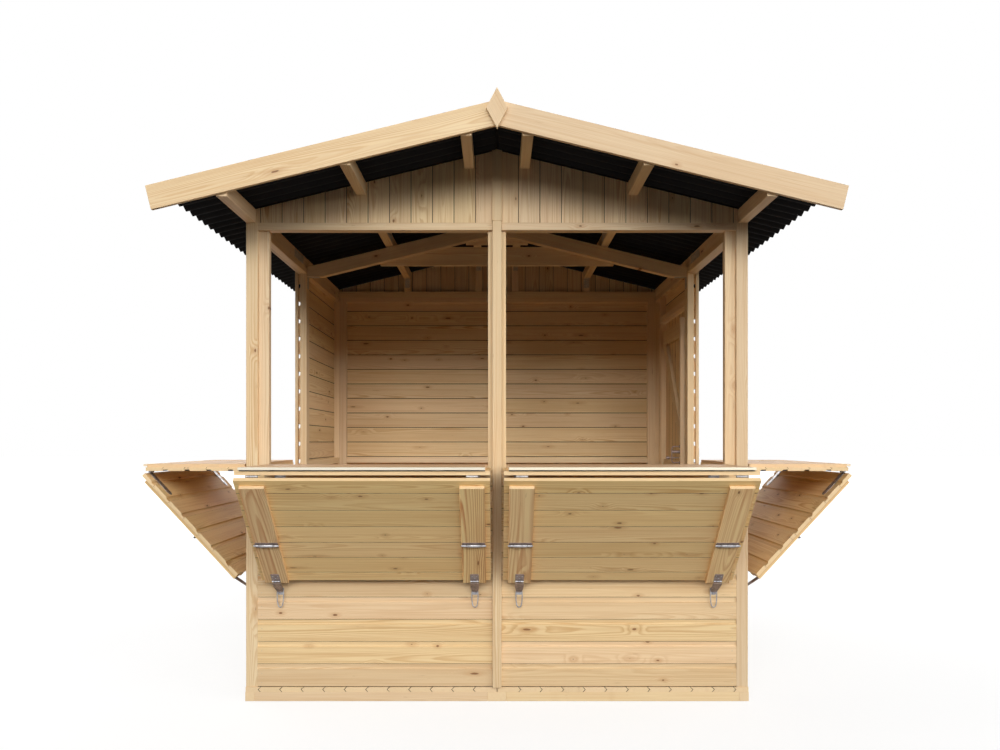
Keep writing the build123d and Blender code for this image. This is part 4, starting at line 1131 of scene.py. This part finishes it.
def hasp_tongue(stack, wires, at, fold_out, level):
    """Hasp tongue, staple and snap ring, which stay on the wall."""
    down = Vector((math.cos(FLAP_HANGS), math.sin(FLAP_HANGS), 0))
    away = Vector((-down.y, down.x, 0))
    fold = Vector((fold_out, level, 0))
    radius, thick = 4 * MM, 2.5 * MM
    knuckle = fold + down * HASP_AT + away * (BATTEN_FACE + radius)
    batten_end = fold + down * FLAP_LENGTH + away * BATTEN_FACE
    run = (batten_end - knuckle).normalized()
    side = Vector((-run.y, run.x, 0))
    start = knuckle + side * (radius + thick) + run * (radius + 1.5 * MM)
    length = (start.x - 14 * MM) / -run.x
    finish = start + run * length
    half, tip, slant = HASP_WIDTH / 2, 12 * MM, length - 6 * MM
    outline = [(0, -half), (length * 0.45, -half), (slant, -tip - 1 * MM), (length, -tip + 4 * MM),
               (length, tip - 4 * MM), (slant, tip + 1 * MM), (length * 0.45, half), (0, half)]
    face = shift(*start) @ Matrix((run, side, run.cross(side))).transposed().to_4x4() @ TURN_BACK
    stack.prism(at @ face, outline, -thick / 2, thick / 2)

    # plate and staple
    plate(wires, at @ Matrix.Rotation(math.pi / 2, 4, "Z"), (finish.y - 15 * MM, -PLATE, -13 * MM),
          (finish.y + 15 * MM, 0, 13 * MM))
    screws(wires, at, X, [(PLATE, finish.y + lift * MM, 0) for lift in (10, -10)], 2.6 * MM)
    bend, leg = finish.x + 4 * MM, 7 * MM
    tube(stack, at, [(x, finish.y, z) for x, z in (
        (PLATE, -leg), (finish.x, -leg), (bend, -leg / 2), (bend, leg / 2), (finish.x, leg),
        (PLATE, leg))], 2.2 * MM, 8)

    # the ring, and the bar across its head
    wire, wide, long, count = 2.3 * MM, 35 * MM, 86 * MM, 32
    middle = finish.y + 17 * MM - long / 2
    loop = []
    for step in range(count):
        turn = 2 * math.pi * step / count
        rise, out = (math.copysign(abs(value) ** 0.72, value)
                     for value in (math.cos(turn), math.sin(turn)))
        broad = (wide / 2 - wire) * (0.88 + 0.12 * rise)
        loop.append((finish.x, middle + (long / 2 - wire) * rise, broad * out))
    tube(wires, at, loop, wire, 8, closed=True)
    tube(wires, at, [(finish.x, middle + long * 0.36, z * MM) for z in (-8, 8)], 2.6 * MM, 8)


fixed, latches, rings = Stack(190), Stack(191), Stack(192)
for number, name in enumerate(HATCH_OUT):
    dress_hatch(name, 120 + 10 * number)
fixed.build("sill_hinges", ZINC, "stall", "fixed_hinges", ease=METAL_EASE)
latches.build("hasp_tongues", DARK, "stall", "hasps", ease=METAL_EASE)
rings.build("snap_rings", ZINC, "stall")

# ==== door furniture =========================================================================
DOOR_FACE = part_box("door_leaf")[1].x
DOOR_KNUCKLE = 6 * MM
LOCK_BARREL = ((0, 11), (2, 11), (3, 8), (43, 8), (44, 6.5))      # height and radius in mm
LOCK_KNOB = ((0, 3), (52, 3), (56, 7.5), (66, 9), (74, 5))


def door_hinges():
    """Two strap hinges: pointed straps on the door, square leaves and pins on the post."""
    pin = PIN_AT["door_hinge"]
    low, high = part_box("door_straps")
    straps, plates = Stack(210), Stack(211)
    reach, half, edge = pin.y - low.y, STRAP / 2, KNUCKLES / 2
    for level in (low.z + half, high.z - half):
        face = place((DOOR_FACE, pin.y, level), -Y, X)
        straps.prism(face, [
            (8 * MM, half), (60 * MM, half), (reach - 14 * MM, 9 * MM), (reach - 4 * MM, 6 * MM),
            (reach, 0), (reach - 4 * MM, -6 * MM), (reach - 14 * MM, -9 * MM), (60 * MM, -half),
            (8 * MM, -half)], 0, PLATE)
        straps.box(face, (0, -EYE, 0), (10 * MM, EYE, PLATE))
        screws(straps, face, Z, [(x * MM, 0, PLATE) for x in (30, 90, 150, 210, 262)])
        post = place((pin.x, pin.y, level), X, Z)
        straps.rod(post, (0, 0), DOOR_KNUCKLE, -7.5 * MM, 7.5 * MM)
        for way in OUTER:
            plates.rod(post, (0, 0), DOOR_KNUCKLE, *sorted((way * 7.7 * MM, way * edge)))
            plates.box(face, (-9 * MM, way * EYE_STEP - EYE, 0), (0, way * EYE_STEP + EYE, PLATE))
        plates.rod(post, (0, 0), PIN, -edge, edge, 12)
        plates.prism(face, [(-7 * MM, -edge), (-7 * MM, edge), (-45 * MM, edge),
                            (-49 * MM, 19 * MM), (-49 * MM, -19 * MM), (-45 * MM, -edge)],
                     0, PLATE)
        screws(plates, face, Z, [(x * MM, z * MM, PLATE) for x in (-18, -38) for z in (-14, 14)])
    straps.build("door_strap_hinges", ZINC, "door", "door_straps", ease=METAL_EASE)
    plates.build("door_hinge_leaves", ZINC, "stall", "door_hinge_plates", ease=METAL_EASE)


def door_pulls():
    """A bent bar on either face, and the lock's barrel and knob inside."""
    stack = Stack(212)
    low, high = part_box("door_handles")
    inner_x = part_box("door_ledges")[0].x
    middle, wire, bend = (low.y + high.y) / 2, 2.8 * MM, 13 * MM
    foot, head = low.z + 4 * MM, high.z - 4 * MM
    for face_x, way, tip in ((DOOR_FACE, 1, high.x - 14 * MM), (inner_x, -1, low.x + 4 * MM)):
        path, out = [(0, foot)], abs(tip - face_x) - bend
        for z, turn in ((foot + bend, -90), (head - bend, 0)):
            for step in range(7):
                angle = math.radians(turn + 15 * step)
                path.append((out + bend * math.cos(angle), z + bend * math.sin(angle)))
        path.append((0, head))
        tube(stack, WORLD, [(face_x + way * x, middle, z) for x, z in path], wire, 12)
        for level in (foot, head):
            stack.turned(place((face_x, middle, level), Y, X * way), (0, 0),
                         ((0, 9 * MM), (2 * MM, 9 * MM), (3.4 * MM, 6 * MM)), 16)
    for level, aside, rings_of in ((1.066, 0, LOCK_BARREL), (1.033, 12 * MM, LOCK_KNOB)):
        stack.turned(place((inner_x, middle + aside, level), Y, -X), (0, 0),
                     [(height * MM, radius * MM) for height, radius in rings_of], 16)
    stack.build("door_pulls", DARK, "door", "door_handles")


door_hinges()
door_pulls()

# ==== lights, floor and camera ===============================================================
DOME_LOW, DOME_HIGH = 0.0, 0.12    # strength of the dome near the ground and overhead
FLOOR_TONE = colour(52, 51, 50)    # what the floor throws back on the object
FLOOR_SEEN = colour(150, 150, 150)  # and how strongly it shows the shadow
FLOOR_GLOW = 0.735                 # what makes it white near the object
FLOOR_NEAR, FLOOR_FAR = 2.2, 6.0   # from here to there the glow rises to full white
LIGHT_REACH = 25.0                 # the lamps stand this far off, in metres
CAMERA_AT = (0, -4.768, 1.121)
WHITE = (1, 1, 1, 1)

# name, azimuth, low and high edge over the horizon, spread, and how a white face shows in it
LAMPS = (("front", 1, 10.5, 26, 50, 0.7), ("high", 0, 26, 52, 60, 0.16),
         ("side", 60, 7, 20, 40, 0.38), ("rear", 190, 12, 50, 70, 0.7),
         ("rear_left", 255, 12, 45, 50, 0.4), ("rear_right", 112, 12, 45, 40, 0.22))


def backdrop_floor():
    """White to the eye where it is lit, a plain pale floor to everything else."""
    paint = Paint("pale_floor")
    rays = paint.node("LightPath").outputs
    seen = paint.math("MAXIMUM", rays["Is Camera Ray"],
                      paint.math("MAXIMUM", rays["Is Glossy Ray"], rays["Is Transmission Ray"]))
    tone = paint.mix(rays["Is Camera Ray"], FLOOR_TONE, FLOOR_SEEN)
    matt = paint.node("BsdfDiffuse", {"Color": tone})
    away = paint.vector("LENGTH", paint.node("TexCoord").outputs["Object"])
    level = paint.range(away, FLOOR_NEAR, FLOOR_FAR, FLOOR_GLOW, 1.0, True)
    glow = paint.node("Emission", {"Color": WHITE, "Strength": paint.times(seen, level)})
    both = paint.node("AddShader", {0: matt.outputs[0], 1: glow.outputs[0]})
    paint.node("OutputMaterial", {0: both.outputs[0]})
    mesh = bpy.data.meshes.new("floor")
    far = 60.0
    mesh.from_pydata([(-far, -far, 0), (far, -far, 0), (far, far, 0), (-far, far, 0)], [],
                     [(0, 1, 2, 3)])
    mesh.materials.append(paint.material)
    ground = link("floor", mesh)


def sky():
    """White to the eye, and a dome of light that is brighter overhead than near the ground."""
    world = bpy.data.worlds.new("studio")
    bpy.context.scene.world = world
    world.use_nodes = True
    paint = Paint.of(world.node_tree)
    rays = paint.node("LightPath").outputs
    seen = paint.math("MAXIMUM", rays["Is Camera Ray"], rays["Is Glossy Ray"])
    rise = paint.node("SeparateXYZ", {0: paint.node("TexCoord").outputs["Generated"]}).outputs[2]
    dome = paint.range(rise, 0.1, 0.9, DOME_LOW, DOME_HIGH)
    level = paint.node("Mix", {0: seen, 2: dome, 3: 1.0}).outputs[0]
    back = paint.node("Background", {"Color": WHITE, "Strength": level})
    paint.node("OutputWorld", {0: back.outputs[0]})


def area_lamp(name, wide, high, energy, location, turn):
    data = bpy.data.lights.new(name, "AREA")
    data.shape = "RECTANGLE"
    data.size, data.size_y, data.energy = wide, high, energy
    lamp = link(name, data)
    lamp.location, lamp.rotation_euler = location, turn
    return lamp


def soft_light(name, azimuth, low, high, spread, level):
    """A far soft box, from low to high above the horizon and as wide as its spread, in degrees.

    Azimuth 0 is the front and 90 the right. A white face turned to it shows as its level.
    """
    around, rise = math.radians(azimuth), math.radians((low + high) / 2)
    towards = Vector((math.sin(around) * math.cos(rise), -math.cos(around) * math.cos(rise),
                      math.sin(rise)))
    wide, tall = (2 * LIGHT_REACH * math.tan(math.radians(angle / 2))
                  for angle in (spread, high - low))
    area_lamp(name, wide, tall, level * (math.pi * LIGHT_REACH) ** 2,
              Vector((0, 0, 1.3)) + towards * LIGHT_REACH,
              (-towards).to_track_quat("-Z", "Y").to_euler())


backdrop_floor()
sky()
for lamp in LAMPS:
    soft_light(*lamp)
# a low strip in front that lifts the undersides, out of the camera's and the metal's sight
card = area_lamp("card", 4.2, 0.6, 2.9, (0, -1.95, 0.05), (math.radians(150), 0, 0))
card.visible_camera = card.visible_glossy = False

camera = bpy.data.cameras.new("camera")
camera.sensor_width, camera.lens = 36, 31.32
camera.shift_x, camera.shift_y = 0.003, 0.067
viewer = link("camera", camera)
viewer.location, viewer.rotation_euler = CAMERA_AT, (math.radians(90), 0, 0)
bpy.context.scene.camera = viewer
bpy.context.scene.view_settings.view_transform = "Standard"
